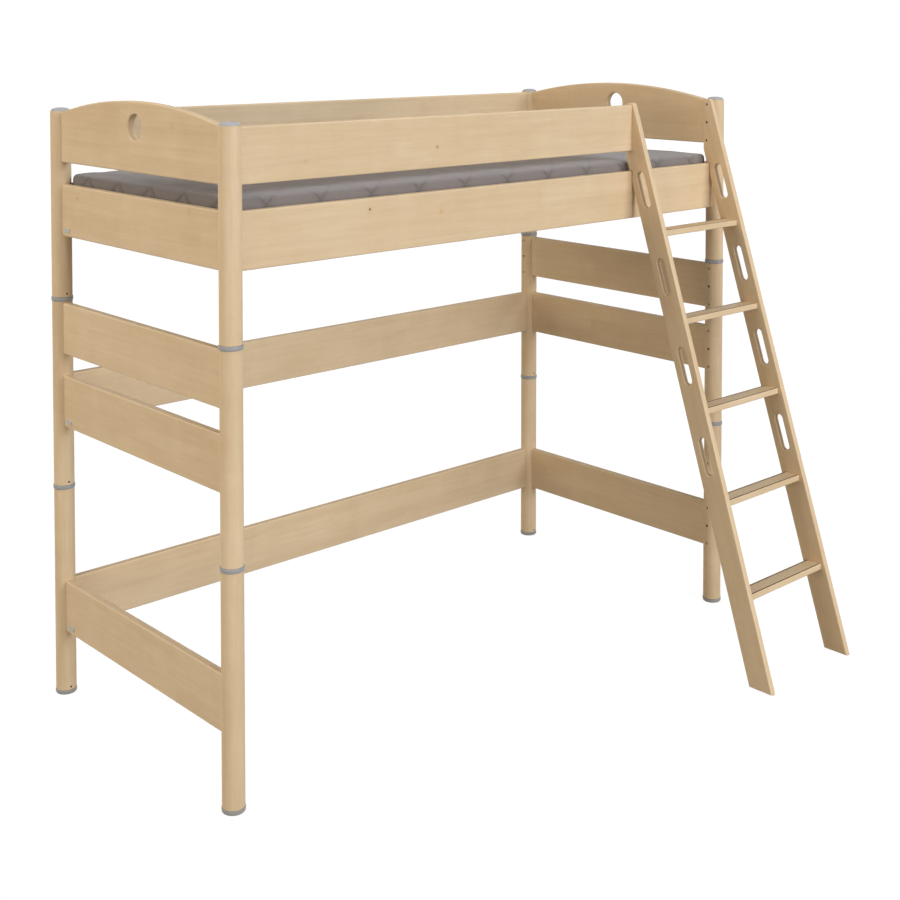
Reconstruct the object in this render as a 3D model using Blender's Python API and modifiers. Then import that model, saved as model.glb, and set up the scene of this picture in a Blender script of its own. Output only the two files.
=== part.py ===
"""Loft bed for one child: round posts in three lengths, boards between them, a guard,
a slatted base with a mattress and a slanting ladder that hooks over the front rail.

X runs along the bed, Y from the ladder to the back, Z up. The origin is on the floor, at the
middle of the space that the bed and its ladder take up.
"""

import math

import bmesh
import bpy
from mathutils import Matrix, Vector

# Post centres, along and across the bed.
POST_SPACING_X = 2.0582
POST_SPACING_Y = 0.9235
# Clearance between pieces that touch.
GAP = 0.0003

# Posts, seen as prisms of POST_SIDES sides. Radii are measured to the flats.
POST_SIDES = 20
POST_RADIUS = 0.0309
RING_RADIUS = 0.0329
FOOT_RADIUS = 0.0322
FOOT_HEIGHT = 0.0128
RING_HEIGHT = 0.0127
LOWER_LENGTH = 0.6292
MIDDLE_LENGTH = 0.5709
UPPER_LENGTH = 0.5712
CAP_INSET = 0.0024
CAP_RIM_HEIGHT = 0.0016
CAP_DOME_HEIGHT = 0.0086
SPIGOT_RADIUS = 0.0120
SPIGOT_LENGTH = 0.030

# Boards between the posts.
BOARD_THICKNESS = 0.024
BOARD_EDGE = 0.0045
BOARD_HEIGHT = 0.158
GUARD_HEIGHT = 0.153
# Guard below the top of its post, gap from the guard down to the rail.
GUARD_DROP = 0.0034
GUARD_GAP = 0.0674
# Upper end board below the top of the middle post, gap from it down to the middle board.
END_BOARD_DROP = 0.0042
END_BOARD_GAP = 0.0668
# Lower board above the bottom of the lower post, spare fixing holes above that board's middle.
LOWER_BOARD_RISE = 0.1855
SPARE_HOLES_RISE = 0.2254

# Head and foot end boards with an arched top and a round hole.
SHOULDER_HEIGHT = 0.1545
ARCH_RISE = 0.0483
ARCH_POINTS = 14
GRIP_HOLE_RADIUS = 0.0370
GRIP_HOLE_DROP = 0.0740
GRIP_HOLE_POINTS = 16

# Two dowels and a bolt between them join a board to a post.
FIXING_PITCH = 0.0641
FIXING_SIDES = 6
DOWEL_RADIUS = 0.0037
DOWEL_REACH = 0.0115
BOLT_RADIUS = 0.0030
BOLT_REACH = 0.0165
BOLT_HOLE_RADIUS = 0.0045
BOLT_HOLE_DEPTH = 0.0190
LOCK_HOLE_RADIUS = 0.0031
LOCK_HOLE_DEPTH = 0.0080
LOCK_HOLE_RISE = 0.0095

# Ladder. Its stiles lean back by LADDER_SLOPE for each metre of height. At the top of the
# front rail their rear edge is STILE_HOOK in front of the rail's middle.
LADDER_SLOPE = 0.3136
STILE_HOOK = 0.0010
STILE_DEPTH = 0.0823
STILE_THICKNESS = 0.0205
STILE_EDGE = 0.0040
STILE_RISE = 0.0069
STILE_TOP_CORNER = 0.0100
STILE_BACK = 0.0143
STILE_SPACING = 0.4208
# How far the right stile is hollowed to fit round its post.
STILE_SCRIBE = 0.0020
TREAD_COUNT = 5
TOP_TREAD_DROP = 0.1902
# Nose of a tread behind the front edge of the stiles, at the level of its top.
TREAD_SETBACK = 0.0130
TREAD_DEPTH = 0.0570
TREAD_THICKNESS = 0.0195
TREAD_NOSE = 0.0035
TREAD_HEEL = 0.0030
# A groove runs along the front and the back of the top, GROOVE_EDGE from the rounding.
GROOVE_WIDTH = 0.0036
GROOVE_DEPTH = 0.0030
GROOVE_EDGE = 0.0010
TENON_DEPTH = 0.036
TENON_THICKNESS = 0.0100
TENON_LENGTH = 0.0110
HAND_SLOT_LENGTH = 0.1223
HAND_SLOT_WIDTH = 0.0296
HAND_SLOT_RISE = 0.1309
BOLT_HEAD_RADIUS = 0.0041
BOLT_HEAD_LENGTH = 0.0050
BOLT_HEAD_SINK = 0.0050

# Slatted base on two ledges.
LEDGE_HEIGHT = 0.028
LEDGE_DEPTH = 0.024
LEDGE_LIFT = 0.0055
LEDGE_END = 0.045
BASE_END = 0.036
BASE_SIDE = 0.0150
BASE_RAIL_WIDTH = 0.030
BASE_RAIL_HEIGHT = 0.020
SLAT_COUNT = 15
SLAT_WIDTH = 0.070
SLAT_THICKNESS = 0.012
SLAT_STEP = 0.004

# Mattress, quilted in diamonds.
MATTRESS_HEIGHT = 0.1293
MATTRESS_END_GAP = 0.0036
MATTRESS_SIDE_GAP = 0.0030
MATTRESS_CROWN = 0.0060
MATTRESS_SHOULDER = 0.0100
QUILT_CELLS_X = 11
QUILT_CELLS_Y = 5
QUILT_STEPS = 4
QUILT_DEPTH = 0.0055
QUILT_SIDE_DROP = 0.033
SIDE_DRAW = 0.0035

# Small blank badges on the outside of the left end.
BADGE_WIDTH = 0.036
BADGE_HEIGHT = 0.013
BADGE_THICKNESS = 0.0022
BADGE_INSET = 0.0595
BADGE_RISE = 0.019

BIRCH = ((0.69, 0.53, 0.34), 0.5, 0.0)
GREY_PLASTIC = ((0.31, 0.33, 0.36), 0.45, 0.0)
GREY_FABRIC = ((0.20, 0.17, 0.17), 0.9, 0.0)
ZINC_STEEL = ((0.45, 0.45, 0.46), 0.35, 0.9)

# Heights above the floor: the ends of the posts, then the middles of the boards.
LOWER_POST_TOP = FOOT_HEIGHT + LOWER_LENGTH
MIDDLE_POST_TOP = LOWER_POST_TOP + RING_HEIGHT + MIDDLE_LENGTH
UPPER_POST_TOP = MIDDLE_POST_TOP + RING_HEIGHT + UPPER_LENGTH
GUARD_LEVEL = UPPER_POST_TOP - GUARD_DROP - GUARD_HEIGHT / 2
RAIL_TOP = GUARD_LEVEL - GUARD_HEIGHT / 2 - GUARD_GAP
RAIL_LEVEL = RAIL_TOP - BOARD_HEIGHT / 2
UPPER_LEVEL = MIDDLE_POST_TOP - END_BOARD_DROP - BOARD_HEIGHT / 2
MIDDLE_LEVEL = UPPER_LEVEL - BOARD_HEIGHT - END_BOARD_GAP
LOWER_LEVEL = FOOT_HEIGHT + LOWER_BOARD_RISE + BOARD_HEIGHT / 2
SPARE_LEVEL = LOWER_LEVEL + SPARE_HOLES_RISE

# Ladder sizes that follow from the rail and the guard.
STILE_RUN = STILE_DEPTH * math.sqrt(1 + LADDER_SLOPE**2)
LADDER_REACH = STILE_HOOK + LADDER_SLOPE * RAIL_TOP + STILE_RUN
STILE_TOP = GUARD_LEVEL + GUARD_HEIGHT / 2 + STILE_RISE
TREAD_PITCH = (RAIL_TOP - TOP_TREAD_DROP) / TREAD_COUNT

# The corners of the mattress are just round enough to pass the posts.
MATTRESS_INSET = (BOARD_THICKNESS + MATTRESS_END_GAP + MATTRESS_SIDE_GAP) / 2
MATTRESS_CORNER = (POST_RADIUS + 2 * GAP - math.sqrt(2) * MATTRESS_INSET) / (math.sqrt(2) - 1)

LEFT_X = -POST_SPACING_X / 2
RIGHT_X = POST_SPACING_X / 2
FRONT_Y = -(POST_SPACING_Y + RING_RADIUS - LADDER_REACH) / 2
BACK_Y = FRONT_Y + POST_SPACING_Y
FLAT_TO_CORNER = 1 / math.cos(math.pi / POST_SIDES)

# Post name: its centre and the directions in which boards leave it.
POSTS = {
    "front_left": (LEFT_X, FRONT_Y, 1, 1),
    "front_right": (RIGHT_X, FRONT_Y, -1, 1),
    "back_left": (LEFT_X, BACK_Y, 1, -1),
    "back_right": (RIGHT_X, BACK_Y, -1, -1),
}
# Post length: its bottom, its top and the levels of the boards it carries.
LENGTHS = {
    "lower": (FOOT_HEIGHT, LOWER_POST_TOP, [LOWER_LEVEL]),
    "middle": (LOWER_POST_TOP + RING_HEIGHT, MIDDLE_POST_TOP, [MIDDLE_LEVEL, UPPER_LEVEL]),
    "upper": (MIDDLE_POST_TOP + RING_HEIGHT, UPPER_POST_TOP, [RAIL_LEVEL, GUARD_LEVEL]),
}


def clear_scene():
    for obj in list(bpy.data.objects):
        bpy.data.objects.remove(obj, do_unlink=True)


def new_collection(name, shown):
    group = bpy.data.collections.new(name)
    bpy.context.scene.collection.children.link(group)
    group.hide_render = not shown
    return group


def paint(obj, finish):
    colour, roughness, metallic = finish
    material = bpy.data.materials.new(obj.name)
    material.use_nodes = True
    shader = material.node_tree.nodes["Principled BSDF"]
    shader.inputs["Base Color"].default_value = (*colour, 1)
    shader.inputs["Roughness"].default_value = roughness
    shader.inputs["Metallic"].default_value = metallic
    obj.data.materials.clear()
    obj.data.materials.append(material)


def add_mesh(bm, name, group, origin=(0, 0, 0)):
    """Turn a bmesh, drawn in place, into an object with its origin at a point of its own."""
    bmesh.ops.recalc_face_normals(bm, faces=bm.faces)
    bmesh.ops.translate(bm, verts=bm.verts, vec=-Vector(origin))
    mesh = bpy.data.meshes.new(name)
    bm.to_mesh(mesh)
    bm.free()
    obj = bpy.data.objects.new(name, mesh)
    obj.location = origin
    group.objects.link(obj)
    if group is cutters:
        obj.hide_render = True
        obj.display_type = "WIRE"
    return obj


def add_box(bm, size, centre):
    where = Matrix.Translation(centre) @ Matrix.Diagonal((*size, 1))
    return bmesh.ops.create_cube(bm, size=1, matrix=where)["verts"]


def add_rod(bm, radius, start, end, sides):
    """Add a closed rod between two points, with flats square to the axes."""
    axis = Vector(end) - Vector(start)
    turn = axis.to_track_quat("Z", "Y").to_matrix().to_4x4()
    where = Matrix.Translation((Vector(start) + Vector(end)) / 2) @ turn
    where = where @ Matrix.Rotation(math.pi / sides, 4, "Z")
    corner = radius / math.cos(math.pi / sides)
    bmesh.ops.create_cone(
        bm, cap_ends=True, segments=sides, radius1=corner, radius2=corner,
        depth=axis.length, matrix=where,
    )


def combine(obj, other, operation):
    step = obj.modifiers.new(other.name, "BOOLEAN")
    step.operation = operation
    step.solver = "EXACT"
    step.object = other


def smooth(obj):
    for face in obj.data.polygons:
        face.use_smooth = True
    obj.data.set_sharp_from_angle(angle=math.radians(35))


def arc(centre, radius, start, end, count):
    """Points of an arc, angles in degrees, both ends included."""
    points = []
    for step in range(count + 1):
        angle = math.radians(start + (end - start) * step / count)
        points.append((centre[0] + radius * math.cos(angle), centre[1] + radius * math.sin(angle)))
    return points


def plate(name, outlines, thickness, edge, x, group, rounding=1):
    """A flat piece across the bed: outlines are in Y and Z, the first one is the outside."""
    curve = bpy.data.curves.new(name, "CURVE")
    curve.dimensions = "2D"
    curve.fill_mode = "BOTH"
    curve.extrude = thickness / 2 - edge
    curve.bevel_depth = edge
    curve.bevel_resolution = rounding
    curve.offset = -edge
    for outline in outlines:
        spline = curve.splines.new("POLY")
        spline.points.add(len(outline) - 1)
        for point, (y, z) in zip(spline.points, outline):
            point.co = (y, z, 0, 1)
        spline.use_cyclic_u = True
    drawn = bpy.data.objects.new(name + "_curve", curve)
    group.objects.link(drawn)
    # Local X, Y and Z of the curve lie along Y, Z and X of the bed.
    drawn.matrix_world = Matrix(((0, 0, 1, x), (1, 0, 0, 0), (0, 1, 0, 0), (0, 0, 0, 1)))
    bpy.context.view_layer.update()
    evaluated = drawn.evaluated_get(bpy.context.evaluated_depsgraph_get())
    mesh = bpy.data.meshes.new_from_object(evaluated)
    mesh.name = name
    place = drawn.matrix_world.copy()
    bpy.data.objects.remove(drawn, do_unlink=True)
    bm = bmesh.new()
    bm.from_mesh(mesh)
    bmesh.ops.remove_doubles(bm, verts=bm.verts, dist=0.00001)
    bmesh.ops.recalc_face_normals(bm, faces=bm.faces)
    bm.to_mesh(mesh)
    bm.free()
    obj = bpy.data.objects.new(name, mesh)
    group.objects.link(obj)
    obj.matrix_world = place
    return obj


def turned(name, profile, x, y, z):
    """A round piece from its half profile, listed from the top of the axis to the bottom."""
    mesh = bpy.data.meshes.new(name)
    points = [(radius * FLAT_TO_CORNER, 0, height) for radius, height in profile]
    edges = [(i, i + 1) for i in range(len(points) - 1)]
    mesh.from_pydata(points, edges, [])
    obj = bpy.data.objects.new(name, mesh)
    bed.objects.link(obj)
    obj.location = (x, y, z)
    obj.rotation_euler.z = math.pi / POST_SIDES
    screw = obj.modifiers.new("turn", "SCREW")
    screw.steps = POST_SIDES
    screw.render_steps = POST_SIDES
    screw.use_merge_vertices = True
    screw.merge_threshold = 0.00001
    return obj


def fixing_heights(level):
    return [level - FIXING_PITCH, level, level + FIXING_PITCH]


def add_fixing_holes(bm, face, direction, level):
    """Bores for two dowels and a bolt, drilled into a surface."""
    for index, height in enumerate(fixing_heights(level)):
        is_bolt = index == 1
        radius = BOLT_HOLE_RADIUS if is_bolt else DOWEL_RADIUS + GAP
        depth = BOLT_HOLE_DEPTH if is_bolt else DOWEL_REACH + 2 * GAP
        start = Vector((face[0], face[1], height)) - direction * 0.004
        end = Vector((face[0], face[1], height)) + direction * depth
        add_rod(bm, radius, start, end, FIXING_SIDES)


def make_post_length(post, length):
    """One length of a post with its spigot bores, fixing holes and lock hole."""
    x, y, side_x, side_y = POSTS[post]
    bottom, top, levels = LENGTHS[length]
    bottom += GAP
    top -= GAP
    name = f"post_{post}_{length}"
    bm = bmesh.new()
    add_rod(bm, POST_RADIUS, (x, y, bottom), (x, y, top), POST_SIDES)
    body = add_mesh(bm, name, bed, (x, y, bottom))
    smooth(body)
    paint(body, BIRCH)

    bm = bmesh.new()
    bore_depth = SPIGOT_LENGTH + 0.002
    add_rod(bm, SPIGOT_RADIUS + GAP, (x, y, bottom - 0.01), (x, y, bottom + bore_depth), 12)
    add_rod(bm, SPIGOT_RADIUS + GAP, (x, y, top - bore_depth), (x, y, top + 0.01), 12)
    for level in levels:
        face_x = (x + side_x * POST_RADIUS, y)
        face_y = (x, y + side_y * POST_RADIUS)
        add_fixing_holes(bm, face_x, Vector((-side_x, 0, 0)), level)
        add_fixing_holes(bm, face_y, Vector((0, -side_y, 0)), level)
    if length == "lower" and side_y > 0:
        add_fixing_holes(bm, (x + side_x * POST_RADIUS, y), Vector((-side_x, 0, 0)), SPARE_LEVEL)
    lock_height = bottom + LOCK_HOLE_RISE
    surface = y + side_y * POST_RADIUS
    add_rod(
        bm, LOCK_HOLE_RADIUS, (x, surface + side_y * 0.004, lock_height),
        (x, surface - side_y * LOCK_HOLE_DEPTH, lock_height), FIXING_SIDES,
    )
    holes = add_mesh(bm, name + "_holes", cutters)
    combine(body, holes, "DIFFERENCE")


def make_post_plastics(post):
    """Foot, two joining rings with their spigots, and domed cap of one post."""
    x, y, _, _ = POSTS[post]
    foot = turned(
        f"post_foot_{post}",
        [
            (0, FOOT_HEIGHT + SPIGOT_LENGTH),
            (SPIGOT_RADIUS, FOOT_HEIGHT + SPIGOT_LENGTH),
            (SPIGOT_RADIUS, FOOT_HEIGHT),
            (FOOT_RADIUS, FOOT_HEIGHT),
            (FOOT_RADIUS - 0.0020, 0),
            (0, 0),
        ],
        x, y, 0,
    )
    paint(foot, GREY_PLASTIC)
    for length in ("lower", "middle"):
        ring = turned(
            f"post_ring_{post}_{length}",
            [
                (0, RING_HEIGHT + SPIGOT_LENGTH),
                (SPIGOT_RADIUS, RING_HEIGHT + SPIGOT_LENGTH),
                (SPIGOT_RADIUS, RING_HEIGHT),
                (RING_RADIUS - 0.0006, RING_HEIGHT),
                (RING_RADIUS, RING_HEIGHT / 2),
                (RING_RADIUS - 0.0006, 0),
                (SPIGOT_RADIUS, 0),
                (SPIGOT_RADIUS, -SPIGOT_LENGTH),
                (0, -SPIGOT_LENGTH),
            ],
            x, y, LENGTHS[length][1],
        )
        paint(ring, GREY_PLASTIC)
    dome_base = CAP_RIM_HEIGHT
    cap_radius = POST_RADIUS - CAP_INSET
    cap = turned(
        f"post_cap_{post}",
        [
            (0, dome_base + CAP_DOME_HEIGHT),
            (cap_radius * 0.42, dome_base + CAP_DOME_HEIGHT * 0.90),
            (cap_radius * 0.78, dome_base + CAP_DOME_HEIGHT * 0.55),
            (cap_radius, dome_base),
            (cap_radius, 0),
            (SPIGOT_RADIUS, 0),
            (SPIGOT_RADIUS, -SPIGOT_LENGTH),
            (0, -SPIGOT_LENGTH),
        ],
        x, y, UPPER_POST_TOP,
    )
    paint(cap, GREY_PLASTIC)


def make_post_clearance():
    """The space of the four posts, which scribes every board end to its post."""
    bm = bmesh.new()
    for x, y, _, _ in POSTS.values():
        add_rod(bm, POST_RADIUS + GAP, (x, y, -0.05), (x, y, UPPER_POST_TOP + 0.1), POST_SIDES)
    return add_mesh(bm, "post_clearance", cutters)


def add_pins(bm, face, direction, level, with_bolt=True):
    """Two glued dowels and the bolt between them, standing out of a board end."""
    for index, height in enumerate(fixing_heights(level)):
        is_bolt = index == 1
        if is_bolt and not with_bolt:
            continue
        radius = BOLT_RADIUS if is_bolt else DOWEL_RADIUS
        reach = BOLT_REACH if is_bolt else DOWEL_REACH
        start = Vector((face[0], face[1], height)) - direction * 0.012
        end = Vector((face[0], face[1], height)) + direction * reach
        add_rod(bm, radius, start, end, FIXING_SIDES)


def add_rounded_bar(bm, length, thickness, height, edge, along, centre):
    """A bar with its long edges rounded, along X or along Y."""
    size = (length, thickness, height) if along == "x" else (thickness, length, height)
    corners = add_box(bm, size, centre)
    index = 0 if along == "x" else 1
    long_edges = []
    for bar_edge in {e for v in corners for e in v.link_edges}:
        run = bar_edge.verts[0].co - bar_edge.verts[1].co
        if abs(run[index]) > length / 2:
            long_edges.append(bar_edge)
    bmesh.ops.bevel(bm, geom=long_edges, offset=edge, segments=2, profile=0.5, affect="EDGES")


def make_straight_board(name, ends, level, height, pins=True):
    """A straight board between two posts, scribed round them and pinned into them."""
    (x0, y0), (x1, y1) = ends
    along = "x" if y0 == y1 else "y"
    direction = Vector((1, 0, 0)) if along == "x" else Vector((0, 1, 0))
    inset = POST_RADIUS * 0.6
    length = (x1 - x0 if along == "x" else y1 - y0) - 2 * inset
    centre = ((x0 + x1) / 2, (y0 + y1) / 2, level)
    bm = bmesh.new()
    add_rounded_bar(bm, length, BOARD_THICKNESS, height, BOARD_EDGE, along, centre)
    board = add_mesh(bm, name, bed, centre)
    smooth(board)
    paint(board, BIRCH)
    combine(board, post_clearance, "DIFFERENCE")
    if pins:
        pin_board(board, ends, direction, level)
    return board


def pin_board(board, ends, direction, level):
    bm = bmesh.new()
    (x0, y0), (x1, y1) = ends
    start = (x0 + direction.x * POST_RADIUS, y0 + direction.y * POST_RADIUS)
    end = (x1 - direction.x * POST_RADIUS, y1 - direction.y * POST_RADIUS)
    add_pins(bm, start, -direction, level)
    add_pins(bm, end, direction, level)
    combine(board, add_mesh(bm, board.name + "_pins", cutters), "UNION")


def make_arched_board(name, x):
    """Head or foot end board: an arc along the top and a round hole."""
    inset = POST_RADIUS * 0.6
    start = FRONT_Y + inset
    end = BACK_Y - inset
    middle = (start + end) / 2
    bottom = GUARD_LEVEL - GUARD_HEIGHT / 2
    half = POST_SPACING_Y / 2 - POST_RADIUS
    shoulder = bottom + SHOULDER_HEIGHT
    peak = shoulder + ARCH_RISE
    radius = (half**2 + ARCH_RISE**2) / (2 * ARCH_RISE)
    spread = math.degrees(math.asin(half / radius))
    top = arc((middle, peak - radius), radius, 90 - spread, 90 + spread, ARCH_POINTS)
    outline = [(start, bottom), (end, bottom), (end, shoulder), *top, (start, shoulder)]
    hole_middle = (middle, peak - GRIP_HOLE_DROP)
    hole = arc(hole_middle, GRIP_HOLE_RADIUS, 0, 360, GRIP_HOLE_POINTS)[:-1]
    board = plate(name, [outline, hole], BOARD_THICKNESS, BOARD_EDGE, x, bed)
    smooth(board)
    paint(board, BIRCH)
    combine(board, post_clearance, "DIFFERENCE")
    pin_board(board, ((x, FRONT_Y), (x, BACK_Y)), Vector((0, 1, 0)), GUARD_LEVEL)


def make_end(side, x):
    """The boards of one end of the bed."""
    make_arched_board(f"headboard_{side}", x)
    ends = ((x, FRONT_Y), (x, BACK_Y))
    make_straight_board(f"bed_rail_{side}", ends, RAIL_LEVEL, BOARD_HEIGHT)
    make_straight_board(f"end_board_{side}_upper", ends, UPPER_LEVEL, BOARD_HEIGHT)
    make_straight_board(f"end_board_{side}_middle", ends, MIDDLE_LEVEL, BOARD_HEIGHT)
    make_straight_board(f"end_board_{side}_lower", ends, LOWER_LEVEL, BOARD_HEIGHT)


def make_long_sides():
    """Back boards, the front rail and the guard that ends at the ladder."""
    back = ((LEFT_X, BACK_Y), (RIGHT_X, BACK_Y))
    front = ((LEFT_X, FRONT_Y), (RIGHT_X, FRONT_Y))
    make_straight_board("guard_back", back, GUARD_LEVEL, GUARD_HEIGHT)
    make_straight_board("bed_rail_back", back, RAIL_LEVEL, BOARD_HEIGHT)
    make_straight_board("back_board_middle", back, MIDDLE_LEVEL, BOARD_HEIGHT)
    make_straight_board("back_board_lower", back, LOWER_LEVEL, BOARD_HEIGHT)
    make_straight_board("bed_rail_front", front, RAIL_LEVEL, BOARD_HEIGHT)
    make_front_guard()


def make_front_guard():
    start = LEFT_X + POST_RADIUS * 0.6
    end = stile_left_face("left") - GAP
    bm = bmesh.new()
    centre = ((start + end) / 2, FRONT_Y, GUARD_LEVEL)
    add_rounded_bar(bm, end - start, BOARD_THICKNESS, GUARD_HEIGHT, BOARD_EDGE, "x", centre)
    guard = add_mesh(bm, "guard_front", bed, centre)
    smooth(guard)
    paint(guard, BIRCH)
    combine(guard, post_clearance, "DIFFERENCE")
    bm = bmesh.new()
    add_pins(bm, (LEFT_X + POST_RADIUS, FRONT_Y), Vector((-1, 0, 0)), GUARD_LEVEL)
    add_pins(bm, (end, FRONT_Y), Vector((1, 0, 0)), GUARD_LEVEL, with_bolt=False)
    combine(guard, add_mesh(bm, "guard_front_pins", cutters), "UNION")
    bm = bmesh.new()
    bolt_end = Vector((end - BOLT_HOLE_DEPTH, FRONT_Y, GUARD_LEVEL))
    add_rod(bm, BOLT_HOLE_RADIUS, bolt_end, (end + 0.01, FRONT_Y, GUARD_LEVEL), FIXING_SIDES)
    combine(guard, add_mesh(bm, "guard_front_bolt_hole", cutters), "DIFFERENCE")


def stile_left_face(side):
    """X of the face of a stile that looks to the left."""
    right = RIGHT_X - POST_RADIUS + STILE_SCRIBE - STILE_THICKNESS
    return right if side == "right" else right - STILE_SPACING


def stile_front(height):
    return FRONT_Y - LADDER_REACH + LADDER_SLOPE * height


def stile_rear(height):
    return stile_front(height) + STILE_RUN


def height_of_rear(y):
    return (y - stile_rear(0)) / LADDER_SLOPE


def tread_top(number):
    """Height of a tread, number 1 being the highest."""
    return TREAD_PITCH * (TREAD_COUNT + 1 - number)


def stile_outline():
    """Side view of a stile: leaning board, cut off plumb behind and notched for the rail."""
    rail_front = FRONT_Y - BOARD_THICKNESS / 2 - GAP
    rail_top = RAIL_TOP + GAP
    back = FRONT_Y + STILE_BACK
    lean = math.degrees(math.atan(LADDER_SLOPE))
    corner = min(STILE_TOP_CORNER, 0.35 * (back - stile_front(STILE_TOP)))
    front_corner = (stile_front(STILE_TOP - corner) + corner / math.cos(math.radians(lean)),
                    STILE_TOP - corner)
    back_corner = (back - corner, STILE_TOP - corner)
    return [
        (stile_rear(0), 0),
        (rail_front, height_of_rear(rail_front)),
        (rail_front, rail_top),
        (stile_rear(rail_top), rail_top),
        (back, height_of_rear(back)),
        *arc(back_corner, corner, 0, 90, 4),
        *arc(front_corner, corner, 90, 180 - lean, 4),
        (stile_front(0), 0),
    ]


def hand_slot(number):
    """Outline of the hand slot above a tread."""
    height = tread_top(number) + HAND_SLOT_RISE
    middle = Vector(((stile_front(height) + stile_rear(height)) / 2, height))
    lean = math.atan(LADDER_SLOPE)
    run = Vector((math.sin(lean), math.cos(lean))) * (HAND_SLOT_LENGTH - HAND_SLOT_WIDTH) / 2
    tilt = -math.degrees(lean)
    upper = arc(middle + run, HAND_SLOT_WIDTH / 2, tilt, tilt + 180, 4)
    lower = arc(middle - run, HAND_SLOT_WIDTH / 2, tilt + 180, tilt + 360, 4)
    return upper + lower


def tread_nose(number):
    """Front of a tread."""
    return stile_front(tread_top(number)) + TREAD_SETBACK


def tread_middle(number):
    """Middle of the tenon of a tread, in Y and Z."""
    return tread_nose(number) + TREAD_DEPTH / 2, tread_top(number) - TREAD_THICKNESS / 2


def make_stile(side):
    left_face = stile_left_face(side)
    middle = left_face + STILE_THICKNESS / 2
    slots = [hand_slot(number) for number in range(1, TREAD_COUNT)]
    stile = plate(
        f"ladder_stile_{side}", [stile_outline(), *slots], STILE_THICKNESS, STILE_EDGE, middle, bed
    )
    smooth(stile)
    paint(stile, BIRCH)

    # Mortises for the tenons of the treads, in the face that looks at the other stile.
    inward = 1 if side == "left" else -1
    inner_face = middle + inward * STILE_THICKNESS / 2
    bm = bmesh.new()
    for number in range(1, TREAD_COUNT + 1):
        y, z = tread_middle(number)
        depth = TENON_LENGTH + 2 * GAP
        size = (depth + 0.01, TENON_DEPTH + 2 * GAP, TENON_THICKNESS + 2 * GAP)
        add_box(bm, size, (inner_face - inward * (depth - 0.01) / 2, y, z))
    # The left stile takes the dowels of the guard, the right one is drilled right through.
    right_face = left_face + STILE_THICKNESS
    for index, height in enumerate(fixing_heights(GUARD_LEVEL)):
        is_bolt = index == 1
        radius = BOLT_HOLE_RADIUS if is_bolt else DOWEL_RADIUS + GAP
        through = is_bolt or side == "right"
        end = right_face + 0.01 if through else left_face + DOWEL_REACH + 2 * GAP
        add_rod(bm, radius, (left_face - 0.01, FRONT_Y, height), (end, FRONT_Y, height), FIXING_SIDES)
    combine(stile, add_mesh(bm, stile.name + "_holes", cutters), "DIFFERENCE")
    if side == "right":
        combine(stile, post_clearance, "DIFFERENCE")


def tread_outline(number):
    """End view of a tread: rounded nose and heel, two grooves along the top."""
    top = tread_top(number)
    nose = tread_nose(number)
    heel = nose + TREAD_DEPTH
    bottom = top - TREAD_THICKNESS
    points = [
        *arc((nose + TREAD_NOSE, bottom + TREAD_NOSE), TREAD_NOSE, 270, 180, 4),
        *arc((nose + TREAD_NOSE, top - TREAD_NOSE), TREAD_NOSE, 180, 90, 4),
    ]
    for left in (nose + TREAD_NOSE + GROOVE_EDGE, heel - TREAD_HEEL - GROOVE_EDGE - GROOVE_WIDTH):
        right = left + GROOVE_WIDTH
        points += [(left, top), (left, top - GROOVE_DEPTH), (right, top - GROOVE_DEPTH), (right, top)]
    points += arc((heel - TREAD_HEEL, top - TREAD_HEEL), TREAD_HEEL, 90, 0, 2)
    points += arc((heel - TREAD_HEEL, bottom + TREAD_HEEL), TREAD_HEEL, 0, -90, 2)
    return points


def make_tread(number):
    start = stile_left_face("left") + STILE_THICKNESS + GAP
    end = stile_left_face("right") - GAP
    middle = (start + end) / 2
    tread = plate(f"ladder_tread_{number}", [tread_outline(number)], end - start, 0, middle, bed)
    smooth(tread)
    paint(tread, BIRCH)
    y, z = tread_middle(number)
    bm = bmesh.new()
    for face, outward in ((start, -1), (end, 1)):
        size = (TENON_LENGTH + 0.01, TENON_DEPTH, TENON_THICKNESS)
        add_box(bm, size, (face + outward * (TENON_LENGTH - 0.01) / 2, y, z))
    combine(tread, add_mesh(bm, tread.name + "_tenons", cutters), "UNION")


def make_ladder_bolt(side):
    """Bolt that holds a stile: its head is sunk in the stile, its shank goes on past it."""
    left_face = stile_left_face(side)
    # The left bolt goes leftwards into the guard, the right one rightwards into the post.
    outward = -1 if side == "left" else 1
    mouth = left_face if side == "right" else left_face + STILE_THICKNESS
    head_start = mouth + outward * BOLT_HEAD_SINK
    head_end = head_start + outward * BOLT_HEAD_LENGTH
    tip = mouth + outward * (STILE_THICKNESS + BOLT_REACH)
    bm = bmesh.new()
    add_rod(bm, BOLT_RADIUS, (head_end - outward * 0.002, FRONT_Y, GUARD_LEVEL),
            (tip, FRONT_Y, GUARD_LEVEL), FIXING_SIDES)
    bolt = add_mesh(bm, f"ladder_bolt_{side}", bed, (mouth, FRONT_Y, GUARD_LEVEL))
    bm = bmesh.new()
    add_rod(bm, BOLT_HEAD_RADIUS, (head_start, FRONT_Y, GUARD_LEVEL),
            (head_end, FRONT_Y, GUARD_LEVEL), 12)
    smooth(bolt)
    paint(bolt, ZINC_STEEL)
    combine(bolt, add_mesh(bm, bolt.name + "_head", cutters), "UNION")


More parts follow.
